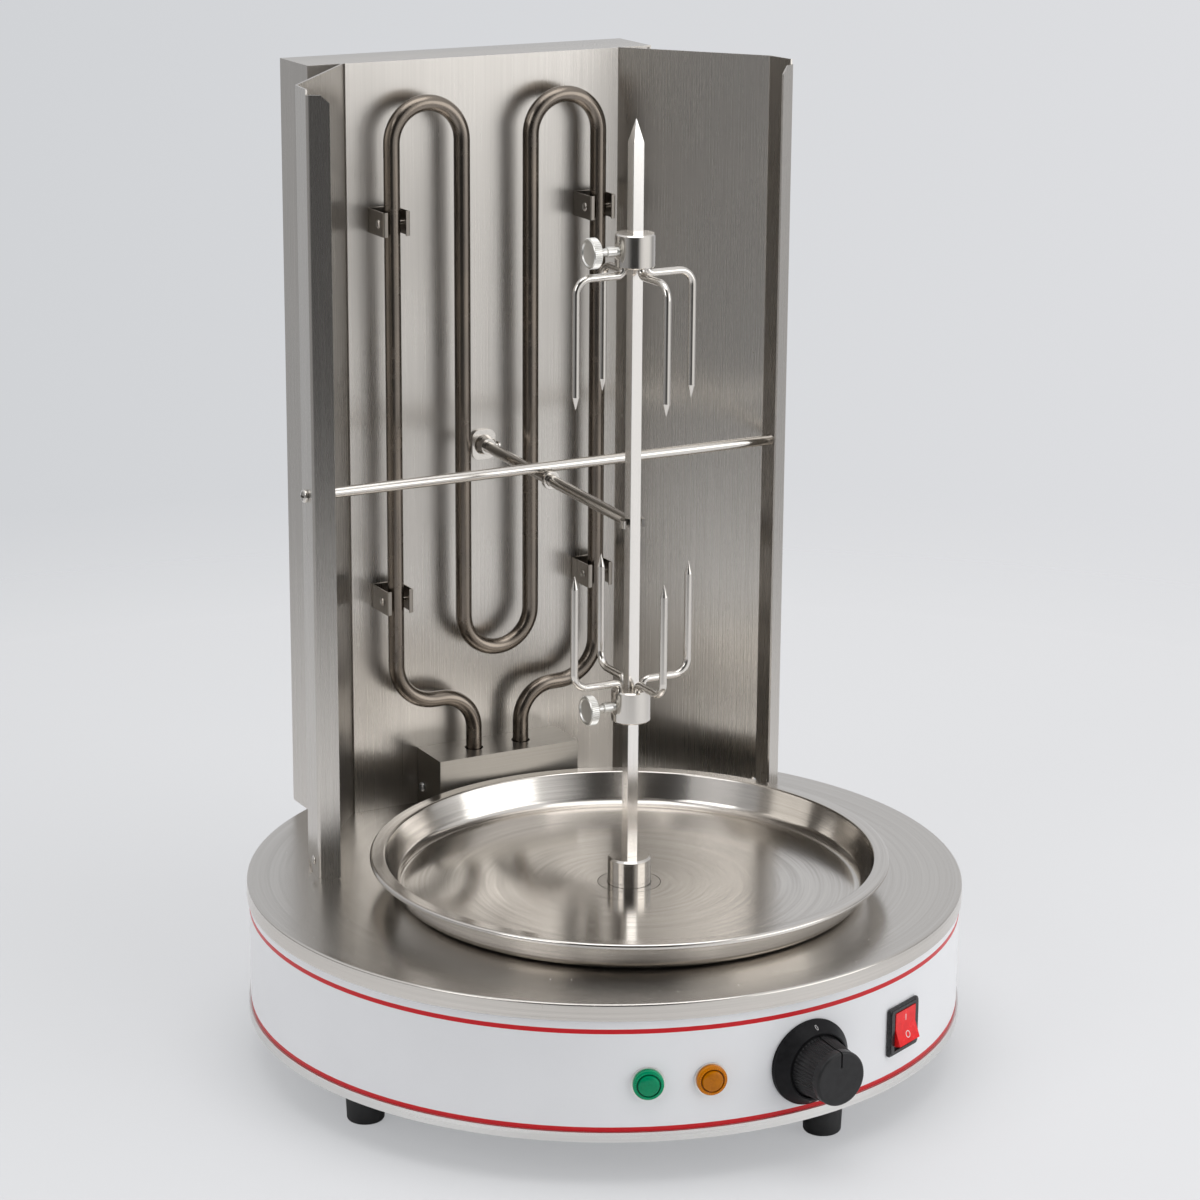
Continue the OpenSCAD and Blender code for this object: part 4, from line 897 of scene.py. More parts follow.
class Tree(Group):
    """Geometry node tree that is run on many pieces."""

    def __init__(self, name: str, **inputs: tuple[str, object]) -> None:
        """Makes the tree, with a finish as its last input."""
        super().__init__("Geometry", name, Geometry=("Geometry", None), **inputs,
                         Finish=("Material", None))

    def close(self, geometry: Socket) -> "Tree":
        """Ends the tree in Realize Instances and Set Material.

        Args:
            geometry: The built geometry.

        Returns:
            The tree.
        """
        self.socket("Geometry", "Geometry", "OUTPUT")
        real = self.add("GeometryNodeRealizeInstances", {0: geometry})
        painted = self.add("GeometryNodeSetMaterial", {
            "Geometry": real.outputs[0], "Material": self.given["Finish"]})
        self.add("NodeGroupOutput", {0: painted.outputs[0]})
        return self

    def copies(self, points: Socket, rotation: Socket) -> Socket:
        """Sets an instance of the tree's copy on each point.

        Args:
            points: The points.
            rotation: The copies' rotation.

        Returns:
            The instances.
        """
        copy = self.add("GeometryNodeObjectInfo", {
            "Object": self.given["Copy"], "As Instance": True}).outputs["Geometry"]
        return self.add("GeometryNodeInstanceOnPoints", {
            "Points": points, "Instance": copy, "Rotation": rotation}).outputs[0]

    def apply(self, piece: Piece, finish: Finish, template: Mesh | None = None,
              **values: object) -> Piece:
        """Runs the tree on a piece and bakes the result.

        Args:
            piece: The object that the tree starts from.
            finish: Finish of the result.
            template: The shape to repeat; it is freed.
            **values: Other input values by name.

        Returns:
            The piece, now a plain mesh.
        """
        values["Finish"] = finish.material()
        if template is not None:
            values["Copy"] = as_object("template", template)
        modifier = piece.modifiers.new(self.tree.name, "NODES")
        modifier.node_group = self.tree
        for label, value in values.items():
            modifier[self.names[label]] = value
        piece.update_tag()
        bpy.context.view_layer.update()
        bake(piece)
        if "Copy" in values:
            bpy.data.objects.remove(values["Copy"])
        return piece


def tube_tree() -> Tree:
    """Makes the tree that sweeps a round section along a line of edges.

    Returns:
        The tree.
    """
    t = Tree("tube_along_line", Radius=("Float", 0.005), Sides=("Int", 32))
    line = t.add("GeometryNodeMeshToCurve", {"Mesh": t.given["Geometry"]})
    section = t.add("GeometryNodeCurvePrimitiveCircle",
                    {"Resolution": t.given["Sides"], "Radius": t.given["Radius"]})
    swept = t.add("GeometryNodeCurveToMesh", {
        "Curve": line.outputs[0], "Profile Curve": section.outputs[0], "Fill Caps": True})
    return t.close(swept.outputs[0])


def ring_tree() -> Tree:
    """Makes the tree that repeats a copy round Z and joins it to the piece.

    Returns:
        The tree.
    """
    t = Tree("copies_in_a_ring", Count=("Int", 6), Radius=("Float", 0.01), Copy=("Object", None))
    ring = t.add("GeometryNodeMeshCircle", {
        "Vertices": t.given["Count"], "Radius": t.given["Radius"]})
    share = t.math("DIVIDE", t.add("GeometryNodeInputIndex").outputs[0], t.given["Count"])
    turn = t.add("ShaderNodeCombineXYZ", {2: t.math("MULTIPLY", share, 2 * math.pi)})
    copies = t.copies(ring.outputs["Mesh"], turn.outputs[0])
    both = t.add("GeometryNodeJoinGeometry")
    for part in (copies, t.given["Geometry"]):
        t.feed(both, {0: part})
    return t.close(both.outputs[0])


def spot_tree() -> Tree:
    """Makes the tree that sets a copy on each point, its Z along the point's aim, turned by chance.

    Returns:
        The tree.
    """
    t = Tree("copies_on_spots", Copy=("Object", None), Seed=("Int", 7))
    aim = t.add("GeometryNodeInputNamedAttribute", {"Name": "aim"}, data_type="FLOAT_VECTOR")
    facing = t.add("FunctionNodeAlignRotationToVector", {"Vector": aim.outputs[0]}, axis="Z")
    chance = t.add("FunctionNodeRandomValue", {"Seed": t.given["Seed"]}, data_type="FLOAT")
    least, most = (s for s in chance.inputs if s.name in ("Min", "Max") and s.type == "VALUE")
    least.default_value, most.default_value = 0.0, math.pi
    drawn = next(s for s in chance.outputs if s.type == "VALUE")
    turn = t.add("ShaderNodeCombineXYZ", {2: drawn})
    spun = t.add("FunctionNodeRotateRotation", {
        "Rotation": facing.outputs[0], "Rotate By": turn.outputs[0]}, rotation_space="LOCAL")
    return t.close(t.copies(t.given["Geometry"], spun.outputs[0]))


TUBES, RINGS, SPOTS = tube_tree(), ring_tree(), spot_tree()


# Sub-assemblies


@dataclass
class Fasteners:
    """Screws and rivets that show, each repeated from one template."""

    cross_w: float = 1.1
    pitch: float = 0.7
    shank_r: float = 1.5
    plate_screw_r: float = 203.8
    plate_screw_drop: float = 1.3
    foot_bolt_z: float = 11.9
    terminal_gap: float = 0.1
    rod_screw_x: float = 160.27
    strip: Point = (158.84, 71.87)
    strip_sheet: float = 1.3
    strip_lean: float = 7.6
    clip_half: float = 9.1
    clip_y: float = 144.0

    def screw(self, head_d: float, head_h: float, thread_d: float, length: float) -> Mesh:
        """Pan head screw with a cross recess and a threaded shank.

        Args:
            head_d: Diameter of the head.
            head_h: Height of the head.
            thread_d: Diameter of the thread.
            length: Length under the head.

        Returns:
            The screw, its head above z = 0.
        """
        r, core, shoulder = head_d / 2, thread_d / 2, head_h * 0.45
        profile = [(0, -length), (core - 0.4, -length), (core, -length + 0.5)]
        for i in range(max(1, int((length - 1.2) / self.pitch))):
            z = -length + 0.6 + i * self.pitch
            profile += [(core, z), (core - 0.25, z + self.pitch / 2)]
        profile += [(core, -0.2), (core, 0), (r - 0.15, 0), (r, 0.15), (r, shoulder)]
        profile += [(r * math.cos(t), shoulder + head_h * 0.55 * math.sin(t))
                    for t in (0.35, 0.7, 1.05, 1.3)]
        body = as_object("screw_body", lathe(profile + [(0, head_h)], 32))
        reach, half = r * 0.62, self.cross_w / 2
        for x, y in ((reach, half), (half, reach)):
            cut(body, block((-x, -y, head_h * 0.35), (x, y, head_h * 2)))
        mesh = bmesh.new()
        mesh.from_mesh(body.data)
        mesh.transform(Matrix.Scale(1 / MM, 4))
        bpy.data.objects.remove(body)
        return mesh

    def rivet(self, head_d: float, head_h: float, length: float) -> Mesh:
        """Domed rivet, its head above z = 0.

        Args:
            head_d: Diameter of the head.
            head_h: Height of the head.
            length: Length of the shank.

        Returns:
            The rivet.
        """
        r, shank = head_d / 2, self.shank_r
        dome = [(r * math.cos(t), head_h * (0.2 + 0.8 * math.sin(t)))
                for t in (0.0, 0.3, 0.6, 0.9, 1.2)]
        return lathe([(0, -length), (shank, -length), (shank, 0), (r - 0.1, 0), *dome,
                      (0, head_h)], 32)

    def fit(self, name: str, node: str, template: Mesh, places: Sequence[tuple[Vector, Vector]],
            finish: Finish = ZINC, slot: str = "zinc", seed: int = 7) -> None:
        """Sets a copy of a template on each place.

        Args:
            name: Name of the piece.
            node: The CAD node that it replaces.
            template: The shape to repeat; it is freed.
            places: Position and aim of each copy.
            finish: Its finish.
            slot: Not used.
            seed: Seed of the copies' chance turns.
        """
        points = bmesh.new()
        for place, _ in places:
            points.verts.new(place)
        piece = as_object(name, points)
        aims = piece.data.attributes.new("aim", "FLOAT_VECTOR", "POINT")
        aims.data.foreach_set("vector", [value for _, aim in places for value in aim])
        settle(SPOTS.apply(piece, finish, template, Seed=seed), finish, [node])

    def build(self) -> None:
        """Sets the screws and rivets in their holes."""
        down, out, sides = -UP, Vector((1, 0, 0)), (-1, 1)
        bright = (POLISHED, "polished_stainless")
        ring, r = [math.radians(30 + 60 * i) for i in range(6)], self.plate_screw_r
        seat, feet = BAND_LOW.z - self.plate_screw_drop, [middle(f"foot_{i}") for i in range(1, 5)]
        self.fit("plate_screws", "base_screws", self.screw(8, 2.6, 4, 9), [
            (Vector((DECK.x + r * math.sin(a), DECK.y - r * math.cos(a), seat)), down)
            for a in ring])
        self.fit("foot_bolts", "foot_screws", self.screw(10, 3.2, 5, 20), [
            (Vector((*foot.xy, self.foot_bolt_z)), down) for foot in feet], seed=11)
        ends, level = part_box("terminal_box"), middle("terminal_box_screws")
        self.fit("terminal_screws", "terminal_box_screws", self.screw(6, 2, 3, 5), [
            (Vector((end.x / MM + s * self.terminal_gap, *level.yz)), out * s)
            for s, end in zip(sides, ends)], seed=3)
        level = middle("cross_rod_screws")
        self.fit("rod_screws", "cross_rod_screws", self.screw(8, 2.6, 4, 11), [
            (Vector((s * self.rod_screw_x, *level.yz)), out * s) for s in sides], *bright, seed=5)
        lean, (foot_x, foot_y), height = (
            math.radians(self.strip_lean), self.strip, middle("wing_rivets").z)
        side, back = math.cos(lean), math.sin(lean)
        x, y = foot_x + self.strip_sheet * side, DECK.y + foot_y + self.strip_sheet * back
        self.fit("strip_rivets", "wing_rivets", self.rivet(5.4, 1.1, 3.6), [
            (Vector((s * x, y, height)), Vector((s * side, back, 0))) for s in sides], *bright)
        spots = [middle(f"element_clip_{i}") for i in range(1, 5)]
        self.fit("clip_rivet_heads", "clip_rivets", self.rivet(5.4, 1.1, 4), [
            (Vector((spot.x + s * self.clip_half, DECK.y + self.clip_y, spot.z)), out * s)
            for spot in spots for s in sides], *bright)


@dataclass
class Base:
    """Round base with its band, plates, feet and hidden drive."""

    sheet: float = 1.2
    edge_bend: float = 1.3
    rim_w: float = 12.0
    inset: float = 0.03
    margin: float = 5.0
    steps: int = 384

    def turned(self, profile: Sequence[Point]) -> Mesh:
        """Ring with the given section, finely stepped round the base's middle.

        Args:
            profile: Radii and heights of the section.

        Returns:
            The ring.
        """
        ring = lathe(profile, self.steps, closed=True)
        ring.transform(Matrix.Translation((DECK.x, DECK.y, 0)))
        return ring

    def plate(self) -> None:
        """Gives a copy of the top plate a crisper, finely stepped rim."""
        low, high = (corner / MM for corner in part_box("top_plate"))
        out, top, foot, far = (high.x - low.x) / 2 - self.inset, DECK.z, low.z, self.margin
        seam, inner, under = out - self.rim_w, out - self.sheet, top - self.sheet
        piece = as_object("top_plate_fine", cad_copy("top_plate"))
        cut(piece, self.turned([(seam, foot - far), (out + far, foot - far), (out + far, top + far),
                                (seam, top + far)]))
        rim = bent([(seam, top), (out, top), (out, foot)], [self.edge_bend], 5)
        ring = as_object("rim", self.turned([*rim, (inner, foot), (inner, under), (seam, under)]))
        whole = bmesh.new()
        for part in (piece, ring):
            whole.from_mesh(part.data)
        whole.to_mesh(piece.data)
        whole.free()
        bpy.data.objects.remove(ring)
        settle(piece, PLATE, ["top_plate"])

    def build(self) -> None:
        """Dresses the base."""
        dress(ENAMEL, "base_band")
        self.plate()
        dress(RIM, "bottom_plate")
        dress(RUBBER, *(f"foot_{i}" for i in range(1, 5)))
        dress(ZINC, "gearmotor", "motor_bracket", "motor_screws", "bracket_nuts", "bearing_screws",
              "shaft_pin")
        dress(BRONZE, "spindle_bearing")
        dress(TURNED, "drive_shaft")
        refined("spit_socket", TURNED, 0.35, 3, Body.SPINDLE)


@dataclass
class Pan:
    """Drip pan: a pressed bowl with a rolled bead round its rim."""

    rim_r: float = 155.0
    rim_h: float = 21.5
    edge_h: float = 2.5
    rim_w: float = 9.0
    wall_in: float = 6.5
    foot: float = 0.3
    sheet: float = 1.0
    hole_r: float = 19.05
    edge_bend: float = 1.6
    foot_bend: float = 7.0

    def section(self) -> list[Point]:
        """Upper face of the sheet.

        Returns:
            Its points, from the edge's foot inwards to the hole.
        """
        wall_top, low = self.rim_r - self.rim_w, self.foot + self.sheet
        corners = [(self.rim_r, self.rim_h - self.edge_h), (self.rim_r, self.rim_h),
                   (wall_top, self.rim_h), (wall_top - self.wall_in, low), (self.hole_r, low)]
        return bent(corners, [self.edge_bend, self.edge_bend, self.foot_bend])

    def build(self) -> None:
        """Turns the pan and sets it on the plate."""
        upper = self.section()
        lower = []
        for i, (r, z) in enumerate(upper):
            a, b = upper[max(i - 1, 0)], upper[min(i + 1, len(upper) - 1)]
            run, rise = b[0] - a[0], b[1] - a[1]
            length = math.hypot(run, rise)
            lower.append((r - self.sheet * rise / length, z + self.sheet * run / length))
        half = self.sheet / 2
        bead = arc((self.rim_r - half, self.rim_h - self.edge_h), half, 0, -180, 6)
        mesh = lathe(upper + lower[::-1] + bead[::-1][1:-1], 256, closed=True)
        mesh.transform(Matrix.Translation(SPINDLE))
        settle(as_object("pan_bowl", mesh), PAN_STEEL, ["drip_pan"], Body.PAN,
               smooth=50)


@dataclass
class Tower:
    """Reflector, its wings and the box behind it."""

    fold: float = 0.45

    def build(self) -> None:
        """Rounds the cut edges of the sheet pieces and brushes them."""
        for node in ("back_box", "reflector_panel", "left_wing", "right_wing"):
            refined(node, SHEET, self.fold)
        dress(ZINC, "tower_screws")


@dataclass
class Heater:
    """Bent heating tube with its clips, terminal box and inner parts."""

    tube_d: float = 10.0
    pitch: float = 47.0
    off: float = 16.0
    top: float = 449.0
    low: float = 102.0
    run_z: float = 73.0
    outer_r: float = 26.0
    inner_r: float = 22.5
    entry: float = 33.3
    tube_end: float = 23.0
    panel_y: float = 160.0

    def path(self) -> list[Triple]:
        """Centre line of the tube.

        Returns:
            Its points, from the left end to the right end.
        """
        loop, outer = self.pitch / 2, 1.5 * self.pitch
        half = [(self.entry / 2, self.tube_end)]
        half += arc((self.entry / 2 + self.inner_r, self.run_z - self.inner_r), self.inner_r,
                    180, 90, 14)
        half += arc((outer - self.outer_r, self.run_z + self.outer_r), self.outer_r, 270, 360, 14)
        half += arc((self.pitch, self.top - loop), loop, 0, 180, 28)
        half += arc((0, self.low + loop), loop, 0, -90, 14)
        y = DECK.y + self.panel_y - self.off
        left, right = ([(DECK.x + s * x, y, DECK.z + z) for x, z in half] for s in (-1, 1))
        return left + right[::-1][1:]

    def build(self) -> None:
        """Sweeps the tube and dresses what holds it."""
        line = bmesh.new()
        points = [line.verts.new(p) for p in self.path()]
        for ends in zip(points, points[1:]):
            line.edges.new(ends)
        tube = TUBES.apply(as_object("heating_tube", line), SCORCHED, Radius=self.tube_d / 2 * MM,
                           Sides=40)
        settle(tube, SCORCHED, ["heating_element"])
        for i in range(1, 5):
            refined(f"element_clip_{i}", CLIP, 0.15)
        refined("terminal_box", LEVEL_SHEET, 0.4, 3)
        dress(CERAMIC, "element_pins", "terminal_block")
        dress(RUBBER, "wire_grommet")


@dataclass
class Guide:
    """Cross rod and the sloping arm that steadies the spit."""

    def build(self) -> None:
        """Rounds and polishes the rod, arm and fittings."""
        for node, width in (("cross_rod", 0.2), ("arm_escutcheon", 0.25), ("arm_ferrule", 0.3)):
            refined(node, POLISHED, width)
        dress(POLISHED, "guide_arm", "arm_set_screw")


@dataclass
class Skewer:
    """Spit with its two forks and their thumb screws."""

    head_d: float = 17.8
    head_t: float = 5.6
    head_out: float = 25.0
    thread_d: float = 5.0
    pitch: float = 0.8
    turns: int = 11
    tip: float = 3.65
    ribs: int = 48

    def thumb(self, name: str, node: str, body: Body) -> None:
        """Thumb screw with a dished, knurled head, pointing along -X.

        Args:
            name: Name of the piece.
            node: The CAD node that it replaces, which gives its height.
            body: Its body.
        """
        r, out, t, neck = self.head_d / 2, self.head_out, self.head_t, self.thread_d / 2
        profile = [(0, self.tip), (neck - 0.4, self.tip)]
        for i in range(self.turns):
            z = self.tip + 0.4 + i * self.pitch
            profile += [(neck, z), (neck - 0.35, z + self.pitch / 2)]
        profile += [(neck, 12.9), (neck + 0.5, 13.2), (neck + 0.5, 18.6), (neck - 0.3, 19.2),
                    (neck - 0.3, 22.0), (neck + 0.9, out - 0.6), (neck + 2.0, out), (r - 0.9, out),
                    (r - 0.35, out + 0.5), (r - 0.35, out + t - 0.5), (r - 0.8, out + t),
                    (r - 1.6, out + t), (r - 2.2, out + t - 0.7), (0, out + t - 0.9)]
        rib = slab([(-0.3, -0.42), (0.35, 0), (-0.3, 0.42)], out + 0.6, out + t - 0.6)
        piece = RINGS.apply(as_object(name, lathe(profile, 64)), NICKEL, rib, Count=self.ribs,
                            Radius=(r - 0.35) * MM)
        place = framed(Vector((*SPINDLE.xy, middle(node).z)), UP, Vector((0, 1, 0)),
                       Vector((-1, 0, 0)))
        settle(piece, NICKEL, [node], body, place)

    def build(self) -> None:
        """Dresses the spit and forks and makes the thumb screws."""
        refined("spit", SPIT_STEEL, 0.3, 3, Body.SPIT)
        dress(POLISHED, "upper_fork", "lower_fork")
        self.thumb("upper_thumb", "upper_thumb_screw", Body.UPPER_THUMB)
        self.thumb("lower_thumb", "lower_thumb_screw", Body.LOWER_THUMB)


@dataclass
class Thermostat:
    """Dial and fluted knob with the controller behind them."""

    angle: float = 4.0
    foot: float = 5.5
    front: float = 30.0
    knob_r: float = 19.0
    face_r: float = 16.0
    bore_r: float = 3.1
    groove: float = 0.5
    flutes: int = 48
    flute: float = 0.7
    print_r: float = 22.0
    print_out: float = 5.75
    print_gap: float = 0.05
    print_t: float = 0.06
    type_scale: float = 1.4
    type_width: float = 0.72
    slope: Point = (6.6, 4.65)

    def knob(self) -> None:
        """Makes the tapered knob with its flutes and pointer groove."""
        foot, front, r, face, bore = self.foot, self.front, self.knob_r, self.face_r, self.bore_r
        grip, low, high = r - 1.2, foot + 2.9, front - 4.6
        head = [(0, foot + 13), (bore, foot + 13), (bore, foot), (r - 0.6, foot),
                (r - 0.3, foot + 0.3), (r - 0.3, foot + 1.8), (r - 0.7, foot + 2.1)]
        # Share of the way up the grip, and depth of the flutes there
        taper = ((0.0, 0.0), (0.05, 0.6), (0.1, 1.0), (0.9, 1.0), (0.96, 0.5), (1.0, 0.0))
        depths = {len(head) + i: depth for i, (_, depth) in enumerate(taper)}
        profile = head + [(grip - (grip - face) * s, low + (high - low) * s) for s, _ in taper]
        profile += [(face, front - 1.6), (face - 0.12, front - 0.9), (face - 0.5, front - 0.35),
                    (face - 1.1, front - 0.06), (face - 1.6, front), (0, front)]

        def ripple(angle: float, number: int) -> float:
            """Depth of the flutes at an angle and a point of the profile."""
            wave = (0.5 - 0.5 * math.cos(angle * self.flutes)) ** 0.7
            return -self.flute * depths.get(number, 0.0) * wave

        piece = as_object("knob_fluted", lathe(profile, self.flutes * 8, ripple=ripple))
        half = self.groove
        cut(piece, block((-half, face * 0.42, front - 0.9), (half, r + 2, front + 1)))
        cut(piece, block((-half, face - 1.1, foot + 2.2), (half, r + 2, front - 0.4)))
        settle(piece, BLACK, ["thermostat_knob"], Body.KNOB, on_band(self.angle),
               smooth=40)

    def figure(self, text: str, size: float, place: Matrix) -> None:
        """Flat printed figure on the dial.

        Args:
            text: The figure.
            size: Its height.
            place: Frame of its middle: X to its right, Y up, Z outwards.
        """
        name = "dial_figure_" + text
        curve = bpy.data.curves.new(name, "FONT")
        curve.body, curve.size, curve.extrude = text, size * self.type_scale * MM, self.print_t * MM
        curve.align_x, curve.align_y = "CENTER", "CENTER"
        source = linked(name + "_source", curve)
        graph = bpy.context.evaluated_depsgraph_get()
        data = bpy.data.meshes.new_from_object(source.evaluated_get(graph))
        bpy.data.objects.remove(source)
        data.transform(Matrix.Diagonal((self.type_width, 1, 1, 1)))
        settle(linked(name, data), PRINT, place=place)

    def build(self) -> None:
        """Makes the dial's figures and the knob, and dresses the rest."""
        refined("thermostat_dial", DIAL, 0.3)
        slope = math.atan2(*self.slope)
        for turn, text, size in ((0.0, "0", 3.6), (-172.0, "6", 2.6)):
            a = math.radians(turn)
            out = Vector((math.sin(a), math.cos(a), 0))
            normal = out * math.sin(slope) + UP * math.cos(slope)
            up = (out * math.cos(slope) - UP * math.sin(slope)) * (-1 if turn else 1)
            spot = out * self.print_r + UP * self.print_out + normal * self.print_gap
            place = on_band(self.angle) @ framed(spot, up.cross(normal), up, normal)
            self.figure(text, size, place)
        self.knob()
        dress(BRONZE, "thermostat_shaft")
        dress(GREY, "thermostat_body")


@dataclass
class Lamps:
    """Green and amber indicator lamps."""

    lens_r: float = 8.8
    seat: float = 1.1
    ribs: int = 36

    def lens(self, colour: str, angle: float, finish: Lens) -> None:
        """Lens with a stepped rim and a domed middle.

        Args:
            colour: Its colour, as in the CAD node's and the slot's name.
            angle: Direction from the front, in degrees.
            finish: Its finish.
        """
        r, z, slot = self.lens_r, self.seat, colour + "_lens"
        profile = [(0, z), (r - 0.1, z), (r, z + 0.1), (r, z + 1.6), (r - 0.3, z + 2.3),
                   (r - 0.8, z + 2.6), (r - 1.7, z + 2.7), (r - 2.0, z + 2.5), (r - 2.1, z + 1.8),
                   (r - 2.6, z + 1.8), (r - 2.7, z + 2.7), (r - 3.0, z + 3.4), (r - 3.6, z + 3.8),
                   (r - 5.5, z + 4.05), (0, z + 4.1)]
        rib = block((-0.25, -0.18, z + 2.55), (0.55, 0.18, z + 2.78))
        piece = RINGS.apply(as_object(slot + "_domed", lathe(profile, 72)), finish, rib,
                            Count=self.ribs, Radius=(r - 1.5) * MM)
        settle(piece, finish, [slot], place=on_band(angle))

    def build(self) -> None:
        """Makes both lenses and dresses the lamp bodies."""
        self.lens("green", -22.0, GREEN_LENS)
        self.lens("amber", -12.5, AMBER_LENS)
        for node in ("green_lamp_body", "amber_lamp_body"):
            refined(node, NICKEL, 0.2)
        dress(GREY, "lamp_nuts")


@dataclass
class Switch:
    """Rocker switch with its black frame."""

    angle: float = 24.2
    tall: float = 19.8
    pivot: float = -4.0
    peak: float = 3.0
    swing: float = 20.0
    mark_t: float = 0.08
    mark_place: float = 0.52
    mark_gap: float = 0.02

    def marks(self) -> dict[str, tuple[int, Mesh]]:
        """The rocker's printed marks.

        Returns:
            Side of the rocker and shape, by the piece's name.
        """
        t, width, height, corner = self.mark_t, 0.5, 3.8, 0.2
        quarters = enumerate(((1, 1), (-1, 1), (-1, -1), (1, -1)))
        dash = [point for i, (x, y) in quarters
                for point in arc((x * (width / 2 - corner), y * (height / 2 - corner)), corner,
                                 90 * i, 90 * i + 90, 3)]
        ring = lathe([(1.65, 0), (1.65, t), (2.1, t), (2.1, 0)], 32, closed=True)
        return {"rocker_mark_on": (1, slab(dash, 0, t)), "rocker_mark_off": (-1, ring)}

    def build(self) -> None:
        """Makes the rocker with its marks and dresses the housing."""
        refined("switch_housing", BLACK_GLOSS, 0.25)
        refined("rocker", RED, 0.5, 3, Body.ROCKER)
        half, lean = self.tall / 2, math.radians(self.swing / 2)
        tipped = (on_band(self.angle) @ Matrix.Translation((0, 0, self.pivot))
                  @ Matrix.Rotation(-lean, 4, "X"))
        away = half * self.mark_place
        level = self.peak - self.pivot + away * math.tan(lean) + self.mark_gap
        for name, (side, mark) in self.marks().items():
            face = Vector((0, side * away, level))
            mark.transform(tipped @ Matrix.Translation(face) @ Matrix.Rotation(side * lean, 4, "X"))
            settle(as_object(name, mark), MARKING, body=Body.ROCKER)


@dataclass
class CordInlet:
    """Cable gland at the rear, with grip ribs on its cap."""

    height: float = -52.0
    cap_r: float = 10.0
    rib_low: float = 5.6
    rib_high: float = 14.2
    ribs: int = 18

    def build(self) -> None:
        """Adds the ribs and dresses the gland and its nut."""
        refined("cable_gland", BLACK, 0.3)
        rib = slab([(-0.4, -0.5), (0.5, -0.25), (0.5, 0.25), (-0.4, 0.5)], self.rib_low,
                   self.rib_high)
        ribs = RINGS.apply(as_object("gland_ribs", bmesh.new()), BLACK, rib, Count=self.ribs,
                           Radius=self.cap_r * MM)
        settle(ribs, BLACK, place=on_band(180.0, self.height))
        dress(BLACK, "gland_nut")


# Ways in the world: the camera's right, and behind the grill as the camera sees it
RIGHTWARDS, BEHIND = (0.878, -0.478, 0.0), (0.46, 0.85, 0.0)
# World colour outside the camera's view: the way it lies, where it starts and is full, its tone
LOBES = (
    ((-0.5, -0.86, 0.0), 0.72, 0.95, (0.05, 0.05, 0.05)),
    ((-0.40, -0.72, 0.57), 0.76, 0.95, (0.04, 0.038, 0.036)),
    ((0.6, -0.8, 0.0), 0.66, 0.93, (0.92, 0.92, 0.92)),
)
# Soft boxes: place, width and height, power in watts
SOFT_BOXES = {
    "top_box": ((-0.1, -0.45, 2.6), (2.0, 1.6), 17),
    "right_box": ((2.0, -2.4, 1.1), (2.4, 2.0), 20),
    "left_box": ((-2.2, -0.7, 1.6), (1.2, 1.2), 9),
}


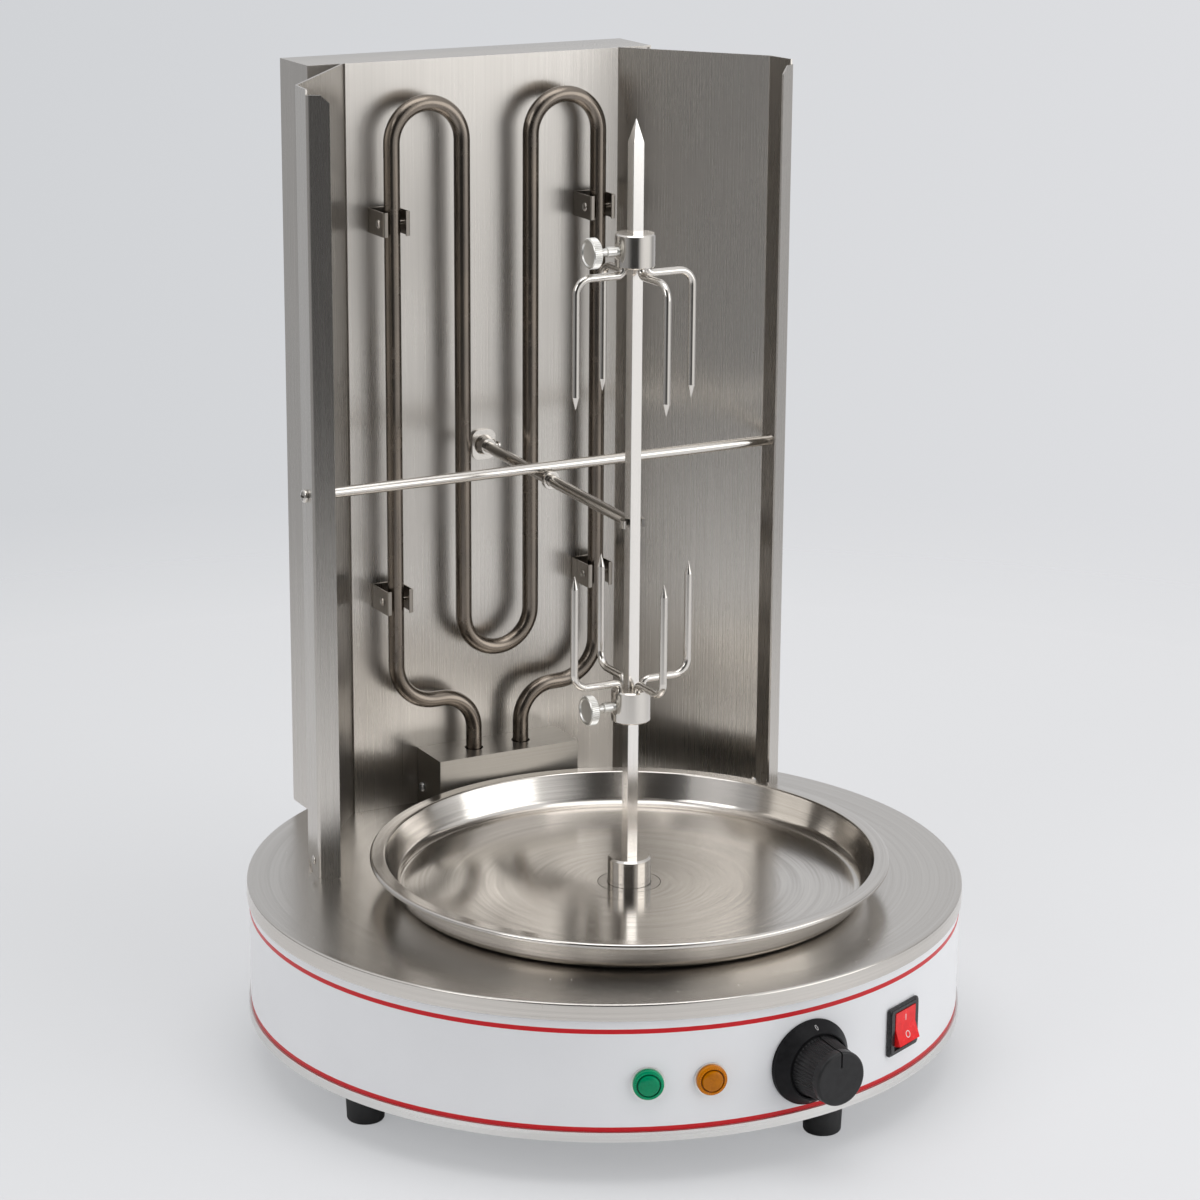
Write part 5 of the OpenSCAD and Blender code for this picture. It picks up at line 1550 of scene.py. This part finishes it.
@dataclass
class Studio:
    """Pale floor, soft lamps and the camera, in metres."""

    floor_r: float = 14.0
    fade: Point = (0.55, 1.4)
    haze: float = 0.5
    backdrop_left: Triple = (0.638, 0.651, 0.673)
    backdrop_right: Triple = (0.723, 0.730, 0.752)
    wall: Triple = (0.34, 0.34, 0.345)
    ceiling: Triple = (0.95, 0.95, 0.96)
    target: Triple = (-0.00434, 0.00626, 0.27841)
    azimuth: float = -28.552
    elevation: float = 15.937
    roll: float = 0.398
    distance: float = 2.0632
    focal_px: float = 3477.0
    frame_px: float = 1200.0
    sensor: float = 36.0
    lamp_aim: Triple = (0.0, 0.0, 0.28)

    def floor(self) -> None:
        """Lays a floor that keeps the shadow and fades into the background further out."""
        disc = bmesh.new()
        bmesh.ops.create_circle(disc, cap_ends=True, segments=96, radius=self.floor_r)
        plane = as_object("studio_floor", disc, 1.0)
        made = bpy.data.materials.new("studio_floor_paint")
        made.use_nodes = True
        g = Graph(made.node_tree)
        place = g.add("ShaderNodeTexCoord").outputs["Object"]
        tone = g.blend(g.noise(place, 3.0), (0.86, 0.86, 0.87), (0.88, 0.88, 0.885))
        paint = g.add("ShaderNodeBsdfPrincipled", {"Base Color": tone, "Roughness": 0.65})
        far = g.ramp(g.vector("LENGTH", place), *self.fade)
        seen = g.add("ShaderNodeLightPath").outputs["Is Camera Ray"]
        below = g.add("ShaderNodeNewGeometry").outputs["Backfacing"]
        veil = g.math("MULTIPLY", seen, g.math("MAXIMUM", below, self.haze))
        clear = g.add("ShaderNodeBsdfTransparent")
        mixed = g.add("ShaderNodeMixShader", {
            0: g.math("MAXIMUM", far, veil), 1: paint.outputs[0], 2: clear.outputs[0]})
        g.add("ShaderNodeOutputMaterial", {"Surface": mixed.outputs[0]})
        plane.data.materials.append(made)

    def sky(self) -> None:
        """Paints the world: a plain backdrop for the camera, and a bright studio for light."""
        world = bpy.data.worlds.new("studio_air")
        bpy.context.scene.world = world
        world.use_nodes = True
        g = Graph(world.node_tree)
        way = g.add("ShaderNodeTexCoord").outputs["Generated"]

        def towards(aim: Triple, low: float, high: float) -> Socket:
            """Mask that grows as a ray turns towards an aim."""
            return g.ramp(g.vector("DOT_PRODUCT", way, aim), low, high)

        sides = towards(RIGHTWARDS, -0.17, 0.17)
        backdrop = g.blend(sides, self.backdrop_left, self.backdrop_right)
        dome = g.blend(towards((0, 0, 1), 0.1, 0.8), self.wall, self.ceiling)
        for aim, low, high, tone in ((BEHIND, 0.3, 0.9, backdrop), *LOBES):
            dome = g.blend(towards(aim, low, high), dome, tone)
        seen = g.add("ShaderNodeLightPath").outputs["Is Camera Ray"]
        air = g.add("ShaderNodeBackground", {"Color": g.blend(seen, dome, backdrop)})
        g.add("ShaderNodeOutputWorld", {"Surface": air.outputs[0]})

    def lamp(self, name: str, place: Triple, size: Point, power: float) -> None:
        """Adds a soft box that points at the grill.

        Args:
            name: Name of the lamp.
            place: Its place.
            size: Its width and height.
            power: Its power in watts.
        """
        data = bpy.data.lights.new(name, "AREA")
        data.shape, data.size, data.size_y, data.energy = "RECTANGLE", *size, power
        light = linked(name, data)
        light.location = place
        aim = Vector(self.lamp_aim) - Vector(place)
        light.rotation_euler = aim.to_track_quat("-Z", "Y").to_euler()

    def camera(self) -> None:
        """Stands the camera where the photograph was taken."""
        a, e, roll = (math.radians(v) for v in (self.azimuth, self.elevation, self.roll))
        back = Vector((math.sin(a) * math.cos(e), -math.cos(a) * math.cos(e), math.sin(e)))
        level = Vector((math.cos(a), math.sin(a), 0))
        upright = back.cross(level)
        right = level * math.cos(roll) + upright * math.sin(roll)
        up = upright * math.cos(roll) - level * math.sin(roll)
        data = bpy.data.cameras.new("camera")
        data.sensor_width = self.sensor
        data.lens = self.sensor * self.focal_px / self.frame_px
        camera = linked("camera", data)
        camera.matrix_world = framed(Vector(self.target) + back * self.distance, right, up, back)
        bpy.context.scene.camera = camera

    def build(self) -> None:
        """Sets the stage."""
        self.camera()
        self.floor()
        self.sky()
        for name, settings in SOFT_BOXES.items():
            self.lamp(name, *settings)
        bpy.context.scene.view_settings.view_transform = "Standard"


def main() -> None:
    """Builds the stage and every sub-assembly."""
    logging.basicConfig(level=logging.INFO, format="%(name)s: %(message)s")
    for part in (Studio(), Base(), Pan(), Tower(), Heater(), Guide(), Skewer(), Thermostat(),
                 Lamps(), Switch(), CordInlet(), Fasteners()):
        LOG.info("building %s", type(part).__name__)
        part.build()


if __name__ == "__main__":
    main()
